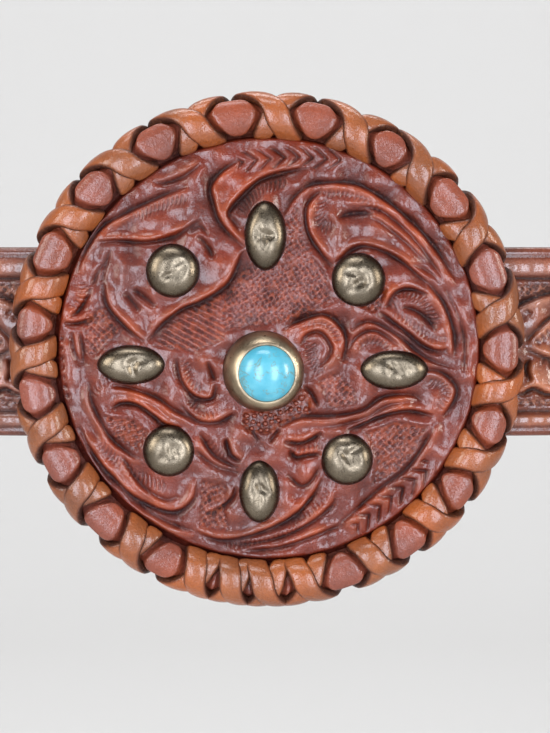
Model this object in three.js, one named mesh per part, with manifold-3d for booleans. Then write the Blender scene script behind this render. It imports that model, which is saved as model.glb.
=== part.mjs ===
// A concho belt as it hangs round a waist: one leather strap that closes at the back, and one round
// leather concho at the front, bound and laced round its rim and set with studs and a blue stone.
// Millimetres, +Z up, the wearer's front towards -Y. The origin is the middle of the waist opening.
import * as THREE from "three";
import { mergeVertices } from "three/addons/utils/BufferGeometryUtils.js";
import Module from "manifold-3d";

const wasm = await Module();
wasm.setup();

// Clearance between neighbouring pieces
const gap = 0.3;

// Strap
const strapWidth = 38;
const strapThickness = 3.6;
const edgeRound = 1.2;
const borderInset = 5.4;
const borderGrooveWidth = 1.2;
const borderGrooveDepth = 0.5;
const tipLength = 15;
const tipFlat = 9;
const tipShares = [1, 0.7, 0.4, 0.15, 0];

// The waist's outline, at the middle of the strap's wall: a straight front, round sides, a flatter back
const sideRadius = 112;
const frontFlat = 80;
const backHalfAngle = THREE.MathUtils.degToRad(20);
const overlapLength = 74;
const overlapRise = 110;
const riseSteps = 4;
const leastStation = 1;
const arcStep = THREE.MathUtils.degToRad(10);

// Closure at the back: one clasp with an outer bar and two headed posts
const claspBarWidth = 9;
const claspBarHeight = 29;
const claspBarThickness = 1.6;
const claspCornerSegments = 6;
const claspPostRadius = 2;
const claspPostSpacing = 18;
const claspHeadRadius = 3.6;
const claspHeadThickness = 1.2;

// Concho body
const faceRadius = 41.9;
const tongueReach = 5.3;
const tongueThickness = 1.8;
const faceEdgeHeight = 6.6;
const faceEdgeRound = 0.9;
const domeRise = 2.2;
const domePower = 2.4;
const domeShares = [0.8, 0.5, 0];
const conchoDrop = 1.2;
const latheSegments = 40;

// Rim binding and lace. The rim's rounded section is told by turns in degrees: 180 is its inner
// side, 90 its front, 0 its outer edge and -90 its back.
const bindingThickness = 1.5;
const padRise = 1.1;
const padLeastWidth = 0.75;
const padRoot = 0.5;
const padShoulder = 0.3;
const padTurn = 85;
const laceThickness = 1.2;
const laceWidth = 4.2;
const crossingLift = 0.9;
const underTrim = 0.12;
const crossingTurn = 92;
const crossingSpread = 30;
const rimPower = 2.6;
const frontTurns = [154, 112, 64, 14];
const backTurns = [-62, -154];

// Studs and stone
const studRadius = 5.4;
const studHeight = 3.4;
const ovalHalfLength = 6.9;
const ovalHalfWidth = 4.1;
const ovalHeight = 3.3;
const studRimHeight = 0.5;
const studSegments = 16;
const domeAngles = [30, 60];
const ovalPoint = 1.25;
const studSink = 0.4;
const pinRadius = 0.9;
const pinSegments = 6;
const pinLength = 3;
const rivetRadius = 1.4;
const rivetHeadRadius = 3.2;
const rivetHeadThickness = 0.9;
const barSegments = 10;
const bezelRadius = 8;
const bezelHeight = 4.1;
const bezelFloor = 1;
const bezelSegments = 20;
const stoneRadius = 5.9;
const stoneGirdleHeight = 2;
const stoneRise = 3.1;
const lipReach = 0.5;

// The bezel's rounded collar, from its foot to its lip, as shares of its wall and its height
const bezelShoulder = [
  { inward: 0, up: 0.2 },
  { inward: 0.3, up: 0.65 },
  { inward: 0.75, up: 0.95 },
  { inward: 1, up: 1 },
];

// Where each stud sits on the concho's face, from the concho's centre, right and up
const studs = [
  { name: "stud_round_nw", right: -19.2, up: 15.4, form: "round" },
  { name: "stud_round_ne", right: 18.2, up: 13.9, form: "round" },
  { name: "stud_round_sw", right: -20.1, up: -20.4, form: "round" },
  { name: "stud_round_se", right: 15.5, up: -22.0, form: "round" },
  { name: "stud_oval_n", right: -0.8, up: 22.5, form: "tall" },
  { name: "stud_oval_s", right: -1.8, up: -28.4, form: "tall" },
  { name: "stud_oval_w", right: -27.4, up: -3.1, form: "wide", rivet: true },
  { name: "stud_oval_e", right: 24.8, up: -4.2, form: "wide", rivet: true },
];
const setting = { right: -1.2, up: -4.1 };

// The lace crossings, clockwise from the top in degrees: where the upper and the lower strap of each
// crossing start at the face, and how far each leans by the time it reaches the rim's outer edge.
const crossings = [
  { over: 5.8, overLean: -9, under: -1.2, underLean: 8 },
  { over: 25.4, overLean: -9, under: 18.2, underLean: 8.7 },
  { over: 43.8, overLean: -9, under: 37.5, underLean: 7 },
  { over: 63.7, overLean: -8, under: 56.4, underLean: 8.5 },
  { over: 83.6, overLean: -8, under: 76.6, underLean: 8.2 },
  { over: 102.2, overLean: -6, under: 95.8, underLean: 9 },
  { over: 120.2, overLean: -6.5, under: 113.9, underLean: 8.4 },
  { over: 137.4, overLean: -5, under: 131, underLean: 7.5 },
  { over: 154.9, overLean: -5.5, under: 148.3, underLean: 7.3 },
  { over: 173, overLean: -6, under: 166.3, underLean: 8 },
  { over: 183.1, overLean: -5.5, under: 176.5, underLean: 6 },
  { over: 190.5, overLean: -4, under: 185.5, underLean: 6 },
  { over: 199.3, overLean: -4, under: 194, underLean: 8 },
  { over: 217.2, overLean: -5.5, under: 211.8, underLean: 6 },
  { over: 235.2, overLean: -5.5, under: 229.6, underLean: 6.5 },
  { over: 252.9, overLean: -6, under: 247.2, underLean: 7 },
  { over: 271, overLean: -6, under: 264.8, underLean: 6.5 },
  { over: 287.9, overLean: -6.5, under: 282, underLean: 6.5 },
  { over: 307.2, overLean: -7.5, under: 300.8, underLean: 7 },
  { over: 326.1, overLean: -9, under: 319.2, underLean: 8 },
  { over: 345.7, overLean: -9, under: 338.5, underLean: 8 },
];

// Worked-out places, in the concho's own frame: x right, y up, z out from the strap's face
const claspPostUps = [-claspPostSpacing / 2, claspPostSpacing / 2];
const rimHalfThickness =
  tongueThickness / 2 + gap + bindingThickness + gap + laceThickness;
const laceMiddleHalf = rimHalfThickness - laceThickness / 2;
const tongueRadius = faceRadius + tongueReach;
const laceOuterRadius = tongueRadius + gap + bindingThickness + gap + laceThickness / 2;
const laceInnerRadius = faceRadius + gap + laceThickness / 2;
const bindingAway = -(laceThickness / 2 + gap);
const rimCentreRadius = (laceInnerRadius + laceOuterRadius) / 2;
const rimReach = (laceOuterRadius - laceInnerRadius) / 2;
const strapFront = -(sideRadius + strapThickness / 2);
const strapBackPlane = -gap - strapThickness;

const leather = new THREE.MeshStandardMaterial({ color: 0x8a4430, roughness: 0.45 });
const bindingLeather = new THREE.MeshStandardMaterial({ color: 0xa5573f, roughness: 0.7 });
const laceLeather = new THREE.MeshStandardMaterial({ color: 0xc87b42, roughness: 0.4 });
const studMetal = new THREE.MeshStandardMaterial({ color: 0x8c8468, roughness: 0.35, metalness: 1 });
const stone = new THREE.MeshStandardMaterial({ color: 0x4fc6dc, roughness: 0.25 });

function solidOf(geometry) {
  const bare = geometry.clone();
  bare.deleteAttribute("normal");
  bare.deleteAttribute("uv");
  const merged = mergeVertices(bare, 1e-4);
  return new wasm.Manifold(
    new wasm.Mesh({
      numProp: 3,
      vertProperties: new Float32Array(merged.attributes.position.array),
      triVerts: new Uint32Array(merged.index.array),
    }),
  );
}

function geometryOf(solid) {
  const mesh = solid.getMesh();
  const geometry = new THREE.BufferGeometry();
  geometry.setAttribute("position", new THREE.BufferAttribute(mesh.vertProperties, 3));
  geometry.setIndex(new THREE.BufferAttribute(mesh.triVerts, 1));
  geometry.computeVertexNormals();
  return geometry;
}

function namedMesh(name, geometry, material) {
  const mesh = new THREE.Mesh(geometry, material);
  mesh.name = name;
  return mesh;
}

// A closed body through a row of sections with equal point counts; triangulates its two ends.
function loftSolid(sections, outline) {
  const count = sections[0].length;
  const positions = sections.flat().flatMap((p) => [p.x, p.y, p.z]);
  const index = [];
  for (let i = 0; i + 1 < sections.length; i++) {
    for (let j = 0; j < count; j++) {
      const a = i * count + j;
      const b = i * count + ((j + 1) % count);
      index.push(a, b, b + count, a, b + count, a + count);
    }
  }
  const last = (sections.length - 1) * count;
  for (const [a, b, c] of THREE.ShapeUtils.triangulateShape(outline, [])) {
    index.push(a, c, b, last + a, last + b, last + c);
  }
  const geometry = new THREE.BufferGeometry();
  geometry.setAttribute("position", new THREE.Float32BufferAttribute(positions, 3));
  geometry.setIndex(index);
  return solidOf(geometry);
}

// A solid of revolution about the z axis from a profile of [radius, height] that runs upwards outside.
function turnedSolid(profile, segments = latheSegments) {
  const points = profile.map(([radius, height]) => new THREE.Vector2(radius, height));
  return solidOf(new THREE.LatheGeometry(points, segments).rotateX(Math.PI / 2));
}

// A round bar along z between two heights, at a place on the concho's face.
function barSolid(radius, low, high, right = 0, up = 0, segments = barSegments) {
  const bar = new THREE.CylinderGeometry(radius, radius, high - low, segments);
  return solidOf(bar.rotateX(Math.PI / 2).translate(right, up, (low + high) / 2));
}

// Waist outline
const halfFlat = frontFlat / 2;
const sideSweep = Math.PI - backHalfAngle;
const backRadius = sideRadius + halfFlat / Math.sin(backHalfAngle);
const backCentreY = -halfFlat / Math.tan(backHalfAngle);
const sideEnd = halfFlat + sideRadius * sideSweep;
const halfLoop = sideEnd + backRadius * backHalfAngle;

// A point on the outline and its outward direction, by distance from the front's middle.
function waistPoint(distance) {
  const along = Math.abs(distance);
  const side = Math.sign(distance) || 1;
  if (along <= halfFlat) {
    return { x: distance, y: -sideRadius, outX: 0, outY: -1 };
  }
  const onSide = along <= sideEnd;
  const angle = onSide
    ? -Math.PI / 2 + (along - halfFlat) / sideRadius
    : Math.PI / 2 - backHalfAngle + (along - sideEnd) / backRadius;
  const radius = onSide ? sideRadius : backRadius;
  const centreX = onSide ? halfFlat : 0;
  const centreY = onSide ? 0 : backCentreY;
  return {
    x: side * (centreX + radius * Math.cos(angle)),
    y: centreY + radius * Math.sin(angle),
    outX: side * Math.cos(angle),
    outY: Math.sin(angle),
  };
}

// How far the outer end stands off the inner one where the strap overlaps itself.
function layerOffset(distance) {
  const flush = halfLoop - overlapLength / 2;
  const share = THREE.MathUtils.smoothstep(distance, flush - overlapRise, flush);
  return share * (strapThickness + gap);
}

// The strap's half width, rounded off towards each end.
function halfWidth(distance) {
  const left = halfLoop + overlapLength / 2 - Math.abs(distance);
  if (left >= tipLength) {
    return strapWidth / 2;
  }
  const share = 1 - left / tipLength;
  return tipFlat + (strapWidth / 2 - tipFlat) * Math.sqrt(1 - share * share);
}

// The strap's section, counter-clockwise: x is its share of the half width, y the distance outwards.
function strapSection() {
  const face = strapThickness / 2;
  const half = strapWidth / 2;
  const groove = half - borderInset;
  const upper = [
    [groove - borderGrooveWidth / 2, face],
    [groove, face - borderGrooveDepth],
    [groove + borderGrooveWidth / 2, face],
    [half - edgeRound, face],
    [half, face - edgeRound],
    [half, -face],
  ];
  const lower = upper.map(([up, out]) => [-up, out]).reverse();
  return [...lower, ...upper].reverse().map(([up, out]) => new THREE.Vector2(up / half, out));
}

function strapStations() {
  const end = halfLoop + overlapLength / 2;
  const riseStart = halfLoop - overlapLength / 2 - overlapRise;
  const places = [0, halfFlat];
  const sideSteps = Math.round(sideSweep / arcStep);
  for (let i = 1; i <= sideSteps; i++) {
    places.push(halfFlat + (sideRadius * sideSweep * i) / sideSteps);
  }
  const backSteps = Math.round((2 * backHalfAngle) / arcStep);
  for (let i = 1; i < backSteps; i++) {
    places.push(sideEnd + ((end - tipLength - sideEnd) * i) / backSteps);
  }
  places.push(...tipShares.map((share) => end - tipLength * share));
  for (let i = 0; i <= riseSteps; i++) {
    places.push(riseStart + (overlapRise * i) / riseSteps);
  }
  const right = [...new Set(places)].sort((a, b) => a - b);
  const spaced = right.filter((p, i) => i === 0 || p - right[i - 1] > leastStation);
  return [...spaced.slice(1).map((p) => -p).reverse(), ...spaced];
}

function strapSolid() {
  const outline = strapSection();
  const sections = strapStations().map((distance) => {
    const at = waistPoint(distance);
    const offset = layerOffset(distance);
    return outline.map(
      ({ x: share, y: out }) =>
        new THREE.Vector3(
          at.x + at.outX * (offset + out),
          at.y + at.outY * (offset + out),
          share * halfWidth(distance),
        ),
    );
  });
  return loftSolid(sections, outline);
}

// Closure
const innerLayerMiddle = backCentreY + backRadius;
const outerLayerFace = innerLayerMiddle + strapThickness * 1.5 + gap;
const innerLayerFace = innerLayerMiddle - strapThickness / 2;

// A round bar along y between two depths, as the clasp's posts and their holes are.
function crossBar(radius, near, far, up) {
  const bar = new THREE.CylinderGeometry(radius, radius, far - near, barSegments);
  return solidOf(bar.translate(0, (near + far) / 2, up));
}

function claspSolid() {
  const barFace = outerLayerFace + gap;
  const corner = Math.min(claspBarWidth, claspBarHeight) / 2;
  const outline = new THREE.Shape();
  outline.absarc(0, claspBarHeight / 2 - corner, corner, 0, Math.PI);
  outline.absarc(0, corner - claspBarHeight / 2, corner, Math.PI, 2 * Math.PI);
  const bar = new THREE.ExtrudeGeometry(outline, {
    depth: claspBarThickness,
    bevelEnabled: false,
    curveSegments: claspCornerSegments,
  });
  bar.rotateX(Math.PI / 2).translate(0, barFace + claspBarThickness, 0);
  const headFace = innerLayerFace - gap;
  const headBack = headFace - claspHeadThickness;
  return claspPostUps.reduce(
    (joined, up) =>
      joined
        .add(crossBar(claspPostRadius, headBack, barFace + claspBarThickness / 2, up))
        .add(crossBar(claspHeadRadius, headBack, headFace, up)),
    solidOf(bar),
  );
}

// Concho
function faceHeight(radius) {
  const share = Math.min(radius / faceRadius, 1);
  return faceEdgeHeight + domeRise * (1 - Math.pow(share, domePower));
}

function seatHeight(place) {
  return faceHeight(Math.hypot(place.right, place.up)) - studSink;
}

// The stud's outline as half length and half width, right and up.
function studHalves(form) {
  if (form === "round") {
    return [studRadius, studRadius];
  }
  return form === "tall" ? [ovalHalfWidth, ovalHalfLength] : [ovalHalfLength, ovalHalfWidth];
}

// A turned solid of unit radius, stretched to half sizes and set on the face. Longer one way, it
// comes to a blunt point at both ends of that way.
function stretchedSolid(profile, halves, place, height) {
  const points = profile.map(([radius, z]) => new THREE.Vector2(radius, z));
  const turned = new THREE.LatheGeometry(points, studSegments).rotateX(Math.PI / 2);
  const position = turned.attributes.position;
  const sharpen = (value, reach) =>
    Math.sign(value) * Math.pow(Math.abs(value) / reach, ovalPoint) * reach;
  for (let i = 0; i < position.count; i++) {
    const [x, y] = [position.getX(i), position.getY(i)];
    const reach = Math.hypot(x, y) || 1;
    position.setX(i, halves[0] * (halves[0] < halves[1] ? sharpen(x, reach) : x));
    position.setY(i, halves[1] * (halves[1] < halves[0] ? sharpen(y, reach) : y));
  }
  turned.translate(place.right, place.up, height);
  return solidOf(turned);
}

function rivetSolid(place, top) {
  const headBack = strapBackPlane + gap / 2;
  const headFront = headBack + rivetHeadThickness;
  return barSolid(rivetRadius, headBack, top, place.right, place.up).add(
    barSolid(rivetHeadRadius, headBack, headFront, place.right, place.up),
  );
}

// What a rivet needs free in the strap and the concho: its shank's hole and its head's recess.
function rivetHole(place, top) {
  const headFront = strapBackPlane + gap / 2 + rivetHeadThickness;
  const below = strapBackPlane - strapThickness;
  return barSolid(rivetRadius + gap, below, top, place.right, place.up).add(
    barSolid(rivetHeadRadius + gap, below, headFront + gap, place.right, place.up),
  );
}

function studSolid(stud) {
  const height = stud.form === "round" ? studHeight : ovalHeight;
  const base = seatHeight(stud);
  const profile = [[0, 0], [1, 0], [1, studRimHeight]];
  for (const angle of domeAngles) {
    const t = THREE.MathUtils.degToRad(angle);
    const rise = (height - studRimHeight) * Math.sin(t);
    profile.push([Math.cos(t), studRimHeight + rise]);
  }
  profile.push([0, height]);
  const cap = stretchedSolid(profile, studHalves(stud.form), stud, base);
  if (stud.rivet) {
    return cap.add(rivetSolid(stud, base + studRimHeight));
  }
  return cap.add(
    barSolid(pinRadius, base - pinLength, base + studRimHeight, stud.right, stud.up, pinSegments),
  );
}

// The seat that a stud presses into the face, with the hole for its pin or rivet.
function studSeat(stud) {
  const floor = seatHeight(stud) - gap;
  const halves = studHalves(stud.form).map((half) => half + gap);
  const rim = stretchedSolid([[0, 0], [1, 0], [1, studHeight], [0, studHeight]], halves, stud, floor);
  if (stud.rivet) {
    return rim.add(rivetHole(stud, floor + gap));
  }
  return rim.add(
    barSolid(pinRadius + gap, floor - pinLength, floor + gap, stud.right, stud.up, pinSegments),
  );
}

// The metal cup: a rounded collar with a lip over the stone's shoulder, and a rivet through the strap.
function bezelSolid() {
  const base = seatHeight(setting);
  const wall = stoneRadius + gap;
  const lip = stoneRadius - lipReach + gap;
  const profile = [
    [0, base],
    [bezelRadius, base],
    ...bezelShoulder.map(({ inward, up }) => [
      THREE.MathUtils.lerp(bezelRadius, lip, inward),
      base + bezelHeight * up,
    ]),
    [wall, base + bezelFloor + gap + stoneGirdleHeight + gap],
    [wall, base + bezelFloor],
    [0, base + bezelFloor],
  ];
  const cup = turnedSolid(profile, bezelSegments).translate([setting.right, setting.up, 0]);
  return cup.add(rivetSolid(setting, base + bezelFloor / 2));
}

function bezelSeat() {
  const floor = seatHeight(setting) - gap;
  const rim = barSolid(
    bezelRadius + gap, floor, floor + bezelHeight, setting.right, setting.up, bezelSegments,
  );
  return rim.add(rivetHole(setting, floor + gap));
}

function stoneSolid() {
  const base = seatHeight(setting) + bezelFloor + gap;
  const shoulder = base + stoneGirdleHeight;
  const profile = [[0, base], [stoneRadius, base], [stoneRadius, shoulder]];
  for (const angle of domeAngles) {
    const t = THREE.MathUtils.degToRad(angle);
    profile.push([stoneRadius * Math.cos(t), shoulder + stoneRise * Math.sin(t)]);
  }
  profile.push([0, shoulder + stoneRise]);
  return turnedSolid(profile, bezelSegments).translate([setting.right, setting.up, 0]);
}

function discSolid() {
  const back = rimHalfThickness - tongueThickness / 2;
  const front = back + tongueThickness;
  const profile = [
    [0, 0],
    [faceRadius, 0],
    [faceRadius, back],
    [tongueRadius, back],
    [tongueRadius, front],
    [faceRadius, front],
    [faceRadius, faceEdgeHeight - faceEdgeRound],
    [faceRadius - faceEdgeRound, faceEdgeHeight],
  ];
  for (const share of domeShares) {
    profile.push([faceRadius * share, faceHeight(faceRadius * share)]);
  }
  const seats = [...studs.map(studSeat), bezelSeat()];
  return seats.reduce((body, seat) => body.subtract(seat), turnedSolid(profile));
}

// A point of the rim's rounded section, as [radius, height], off the middle of the lace's wall.
function rimPoint(turn, away) {
  const t = THREE.MathUtils.degToRad(turn);
  const power = (value) => Math.sign(value) * Math.pow(Math.abs(value), 2 / rimPower);
  return [
    rimCentreRadius + (rimReach + away) * power(Math.cos(t)),
    rimHalfThickness + (laceMiddleHalf + away) * power(Math.sin(t)),
  ];
}

const frontLength = frontTurns.slice(1).reduce((sum, turn, i) => {
  const [r0, z0] = rimPoint(frontTurns[i], 0);
  const [r1, z1] = rimPoint(turn, 0);
  return sum + Math.hypot(r1 - r0, z1 - z0);
}, 0);

// A sheet's section at one turn of the rim, between two angles in degrees clockwise from the top.
function rimSection(turn, from, to, corners) {
  return corners.map(([across, away]) => {
    const [radius, z] = rimPoint(turn, away);
    const angle = THREE.MathUtils.degToRad(THREE.MathUtils.lerp(from, to, across));
    return new THREE.Vector3(radius * Math.sin(angle), radius * Math.cos(angle), z);
  });
}

function rimSheet(sections) {
  const count = sections[0].length;
  const outline = sections[0].map((_, i) => {
    const t = (2 * Math.PI * i) / count;
    return new THREE.Vector2(Math.cos(t), Math.sin(t));
  });
  return loftSolid(sections, outline);
}

// How far a lace has got on the way from its foot to the rim's outer edge.
function frontShare(turn) {
  return (frontTurns[0] - turn) / frontTurns[0];
}

// Half the angle, in degrees, that a lace takes up at a turn where it leans by so much on its way.
function laceHalfAngle(turn, lean) {
  const sideways = (THREE.MathUtils.degToRad(lean) * rimCentreRadius) / frontLength;
  const half = (laceWidth / 2) * Math.hypot(1, sideways);
  return THREE.MathUtils.radToDeg(half / rimPoint(turn, 0)[0]);
}

// One lace strap, from its front foot round the rim's edge to its back foot. The lifted one of a
// crossing rises over the other one, which is a little thinner and runs into it.
function laceSolid(foot, lean, backFoot, lift) {
  const sections = [...frontTurns, ...backTurns].map((turn) => {
    const share = frontShare(turn);
    const back = Math.max(share - 1, 0);
    const middle = foot + lean * Math.min(share, 1) + (backFoot - foot - lean) * back;
    const half = laceHalfAngle(turn, lean);
    const raised = lift * Math.exp(-(((turn - crossingTurn) / crossingSpread) ** 2));
    const trim = lift > 0 ? 0 : underTrim;
    const low = trim - laceThickness / 2;
    const high = raised + laceThickness / 2 - trim;
    return rimSection(turn, middle - half, middle + half, [[0, low], [0, high], [1, high], [1, low]]);
  });
  return rimSheet(sections);
}

// The crossing after this one, clockwise, with its angles on the same turn of the circle.
function crossingAfter(i) {
  const next = crossings[(i + 1) % crossings.length];
  const round = i + 1 < crossings.length ? 0 : 360;
  return { ...next, over: next.over + round, under: next.under + round };
}

function lacingSolid() {
  const straps = crossings.flatMap((crossing, i) => {
    const next = crossingAfter(i);
    const underEdge = crossing.under + crossing.underLean;
    const backFoot = (underEdge + next.over + next.overLean) / 2;
    return [
      laceSolid(crossing.under, crossing.underLean, backFoot, 0),
      laceSolid(next.over, next.overLean, backFoot, crossingLift),
    ];
  });
  return straps.reduce((joined, strap) => joined.add(strap));
}

// Where the laces on both sides of a pad leave the binding bare, at a turn: [from, to] in degrees.
function bareStretch(crossing, next, turn) {
  const share = frontShare(turn);
  const clear = THREE.MathUtils.radToDeg(gap / rimPoint(turn, 0)[0]);
  const from = Math.max(
    crossing.over + crossing.overLean * share + laceHalfAngle(turn, crossing.overLean),
    crossing.under + crossing.underLean * share + laceHalfAngle(turn, crossing.underLean),
  );
  const to = Math.min(
    next.over + next.overLean * share - laceHalfAngle(turn, next.overLean),
    next.under + next.underLean * share - laceHalfAngle(turn, next.underLean),
  );
  return [from + clear, to - clear];
}

// The swelling of the binding between one crossing and the next, or nothing where they are packed.
function padSolids(crossing, i) {
  const next = crossingAfter(i);
  const sections = frontTurns.map((turn) => {
    const [from, to] = bareStretch(crossing, next, turn);
    const width = THREE.MathUtils.degToRad(to - from) * rimPoint(turn, 0)[0];
    const offFront = THREE.MathUtils.degToRad(turn - padTurn);
    const top = bindingAway + padRise * Math.cos(offFront);
    const shoulder = bindingAway + padRise * padShoulder;
    const low = bindingAway - padRoot;
    const corners = [[0, low], [0, shoulder], [0.5, top], [1, shoulder], [1, low]];
    return { width, points: rimSection(turn, from, to, corners) };
  });
  const roomy = sections.every(({ width }) => width > padLeastWidth);
  return roomy ? [rimSheet(sections.map(({ points }) => points))] : [];
}

// The leather strip folded over the concho's edge, which swells into a pad between the crossings.
function bindingSolid() {
  const slotHalf = tongueThickness / 2 + gap;
  const slotEnd = tongueRadius + gap;
  const around = [...frontTurns, ...backTurns].reverse().map((turn) => rimPoint(turn, bindingAway));
  const mouth = around[0][0];
  const profile = [
    ...around,
    [mouth, rimHalfThickness + slotHalf],
    [slotEnd, rimHalfThickness + slotHalf],
    [slotEnd, rimHalfThickness - slotHalf],
    [mouth, rimHalfThickness - slotHalf],
    around[0],
  ];
  const pads = crossings.flatMap(padSolids);
  return pads.reduce((body, pad) => body.add(pad), turnedSolid(profile));
}

// The concho's own frame, standing on the strap's face
const concho = new THREE.Group();
concho.rotation.x = Math.PI / 2;
concho.position.set(0, strapFront - gap, -conchoDrop);
concho.updateMatrixWorld(true);

function piercedStrap() {
  const rivets = [...studs.filter((stud) => stud.rivet), setting];
  const conchoHoles = rivets.map((place) =>
    rivetHole(place, strapThickness).transform(concho.matrixWorld.toArray()),
  );
  const claspHoles = claspPostUps.map((up) =>
    crossBar(
      claspPostRadius + gap, innerLayerFace - strapThickness, outerLayerFace + strapThickness, up,
    ),
  );
  return [...conchoHoles, ...claspHoles].reduce((body, hole) => body.subtract(hole), strapSolid());
}

const belt = new THREE.Group();
belt.add(namedMesh("strap", geometryOf(piercedStrap()), leather));
belt.add(namedMesh("closure_clasp", geometryOf(claspSolid()), studMetal));
concho.add(namedMesh("concho_disc", geometryOf(discSolid()), leather));
concho.add(namedMesh("rim_binding", geometryOf(bindingSolid()), bindingLeather));
concho.add(namedMesh("edge_lacing", geometryOf(lacingSolid()), laceLeather));
concho.add(namedMesh("bezel_cup", geometryOf(bezelSolid()), studMetal));
concho.add(namedMesh("blue_stone", geometryOf(stoneSolid()), stone));
for (const stud of studs) {
  concho.add(namedMesh(stud.name, geometryOf(studSolid(stud)), studMetal));
}
belt.add(concho);

export default belt;
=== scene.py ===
import math

import bmesh
import bpy
import numpy as np
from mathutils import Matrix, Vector


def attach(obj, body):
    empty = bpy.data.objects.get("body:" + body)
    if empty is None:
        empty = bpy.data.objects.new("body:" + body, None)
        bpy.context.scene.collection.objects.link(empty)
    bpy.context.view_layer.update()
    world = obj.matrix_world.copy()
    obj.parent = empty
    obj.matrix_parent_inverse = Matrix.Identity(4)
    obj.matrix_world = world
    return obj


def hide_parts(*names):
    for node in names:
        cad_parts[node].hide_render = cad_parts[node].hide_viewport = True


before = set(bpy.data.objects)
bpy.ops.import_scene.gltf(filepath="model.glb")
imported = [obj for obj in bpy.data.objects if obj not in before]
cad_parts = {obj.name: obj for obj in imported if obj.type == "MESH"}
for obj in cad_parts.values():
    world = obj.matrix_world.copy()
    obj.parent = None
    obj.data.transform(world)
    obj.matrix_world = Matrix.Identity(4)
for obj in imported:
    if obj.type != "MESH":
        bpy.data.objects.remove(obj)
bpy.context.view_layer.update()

# Millimetres in the tables below; one metre of the scene is 1000 of them
MM = 0.001

# The CAD part's own sizes
GAP = 0.3
STRAP_HALF_THICKNESS = 1.8
SIDE_RADIUS = 112.0
HALF_FLAT = 40.0
BACK_HALF_ANGLE = math.radians(20)
OVERLAP_LENGTH = 74.0
OVERLAP_RISE = 110.0
TIP_LENGTH = 15.0
TIP_FLAT = 9.0
FACE_RADIUS = 41.9
FACE_EDGE_HEIGHT = 6.6
DOME_RISE = 2.2
DOME_POWER = 2.4
TONGUE_RADIUS = 47.2
TONGUE_LOW = 3.3
TONGUE_HIGH = 5.1
CONCHO_DROP = 1.2
CONCHO_FRONT = 114.1
STUD_SINK = 0.4

# Sizes of the strap's edge, the rim and its laces, which are dressed a little fuller than in CAD
STRAP_HALF_WIDTH = 19.3
RIM_CENTRE = 46.35
RIM_REACH = 3.55
RIM_MIDDLE = 4.2
RIM_HALF = 3.6
RIM_POWER = 2.6
RIM_INNER = 42.4
RIM_SPREAD = 1.12
RIM_SHIFT = (-0.35, -0.3)
BINDING_AWAY = -0.8
PAD_RISE = 1.15
LACE_WIDTH = 4.3
LACE_THICKNESS = 1.4
CROSSING_LIFT = 0.95
UNDER_LIFT = -0.05
CROSSING_TURN = 92.0
CROSSING_SPREAD = 34.0
LEAN_SPREAD = 1.14
LEAN_POWER = 1.3
FOOT_TURN = 154.0

# Where the upper and the lower lace of each crossing start, in degrees clockwise from the top, and
# how far each leans on its way to the rim's outer edge: over, over_lean, under, under_lean
CROSSINGS = [
    (5.8, -9.0, -1.2, 8.0),
    (25.4, -9.0, 18.2, 8.7),
    (43.8, -9.0, 37.5, 7.0),
    (63.7, -8.0, 56.4, 8.5),
    (83.6, -8.0, 76.6, 8.2),
    (102.2, -6.0, 95.8, 9.0),
    (120.2, -6.5, 113.9, 8.4),
    (137.4, -5.0, 131.0, 7.5),
    (154.9, -5.5, 148.3, 7.3),
    (173.0, -6.0, 166.3, 8.0),
    (183.1, -5.5, 176.5, 6.0),
    (190.5, -4.0, 185.5, 6.0),
    (199.3, -4.0, 194.0, 8.0),
    (217.2, -5.5, 211.8, 6.0),
    (235.2, -5.5, 229.6, 6.5),
    (252.9, -6.0, 247.2, 7.0),
    (271.0, -6.0, 264.8, 6.5),
    (287.9, -6.5, 282.0, 6.5),
    (307.2, -7.5, 300.8, 7.0),
    (326.1, -9.0, 319.2, 8.0),
    (345.7, -9.0, 338.5, 8.0),
]

# The studs on the concho's face: node, right, up, half width, half height, through the strap
STUDS = [
    ("stud_round_nw", -19.1, 15.6, 5.4, 5.4, False),
    ("stud_round_ne", 17.8, 13.8, 5.4, 5.4, False),
    ("stud_round_sw", -20.0, -20.3, 5.2, 5.2, False),
    ("stud_round_se", 15.6, -22.0, 5.2, 5.2, False),
    ("stud_oval_n", -0.7, 22.6, 4.2, 7.0, False),
    ("stud_oval_s", -1.9, -28.4, 4.1, 6.4, False),
    ("stud_oval_w", -27.4, -3.1, 6.9, 4.0, True),
    ("stud_oval_e", 24.9, -4.1, 6.9, 4.0, True),
]
SETTING = (-1.2, -4.3)
STONE_OFFSET = (0.8, -0.35)
STONE_RADIUS = 5.7


def smooth_step(value, low, high):
    share = np.clip((value - low) / (high - low), 0.0, 1.0)
    return share * share * (3.0 - 2.0 * share)


# Meshes
def grid_faces(rows, columns, wrap_rows=False, wrap_columns=False, start=0):
    row = np.arange(rows if wrap_rows else rows - 1)
    column = np.arange(columns if wrap_columns else columns - 1)
    row, column = np.meshgrid(row, column, indexing="ij")
    next_row = (row + 1) % rows
    next_column = (column + 1) % columns
    corners = [
        row * columns + column,
        row * columns + next_column,
        next_row * columns + next_column,
        next_row * columns + column,
    ]
    return (np.stack(corners, -1).reshape(-1, 4) + start).tolist()


def concho_points(right, up, out):
    """Places in the concho's own frame, in millimetres, as points of the scene."""
    right, up, out = np.broadcast_arrays(right, up, out)
    return np.stack([right, -(CONCHO_FRONT + out), up - CONCHO_DROP], -1) * MM


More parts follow.
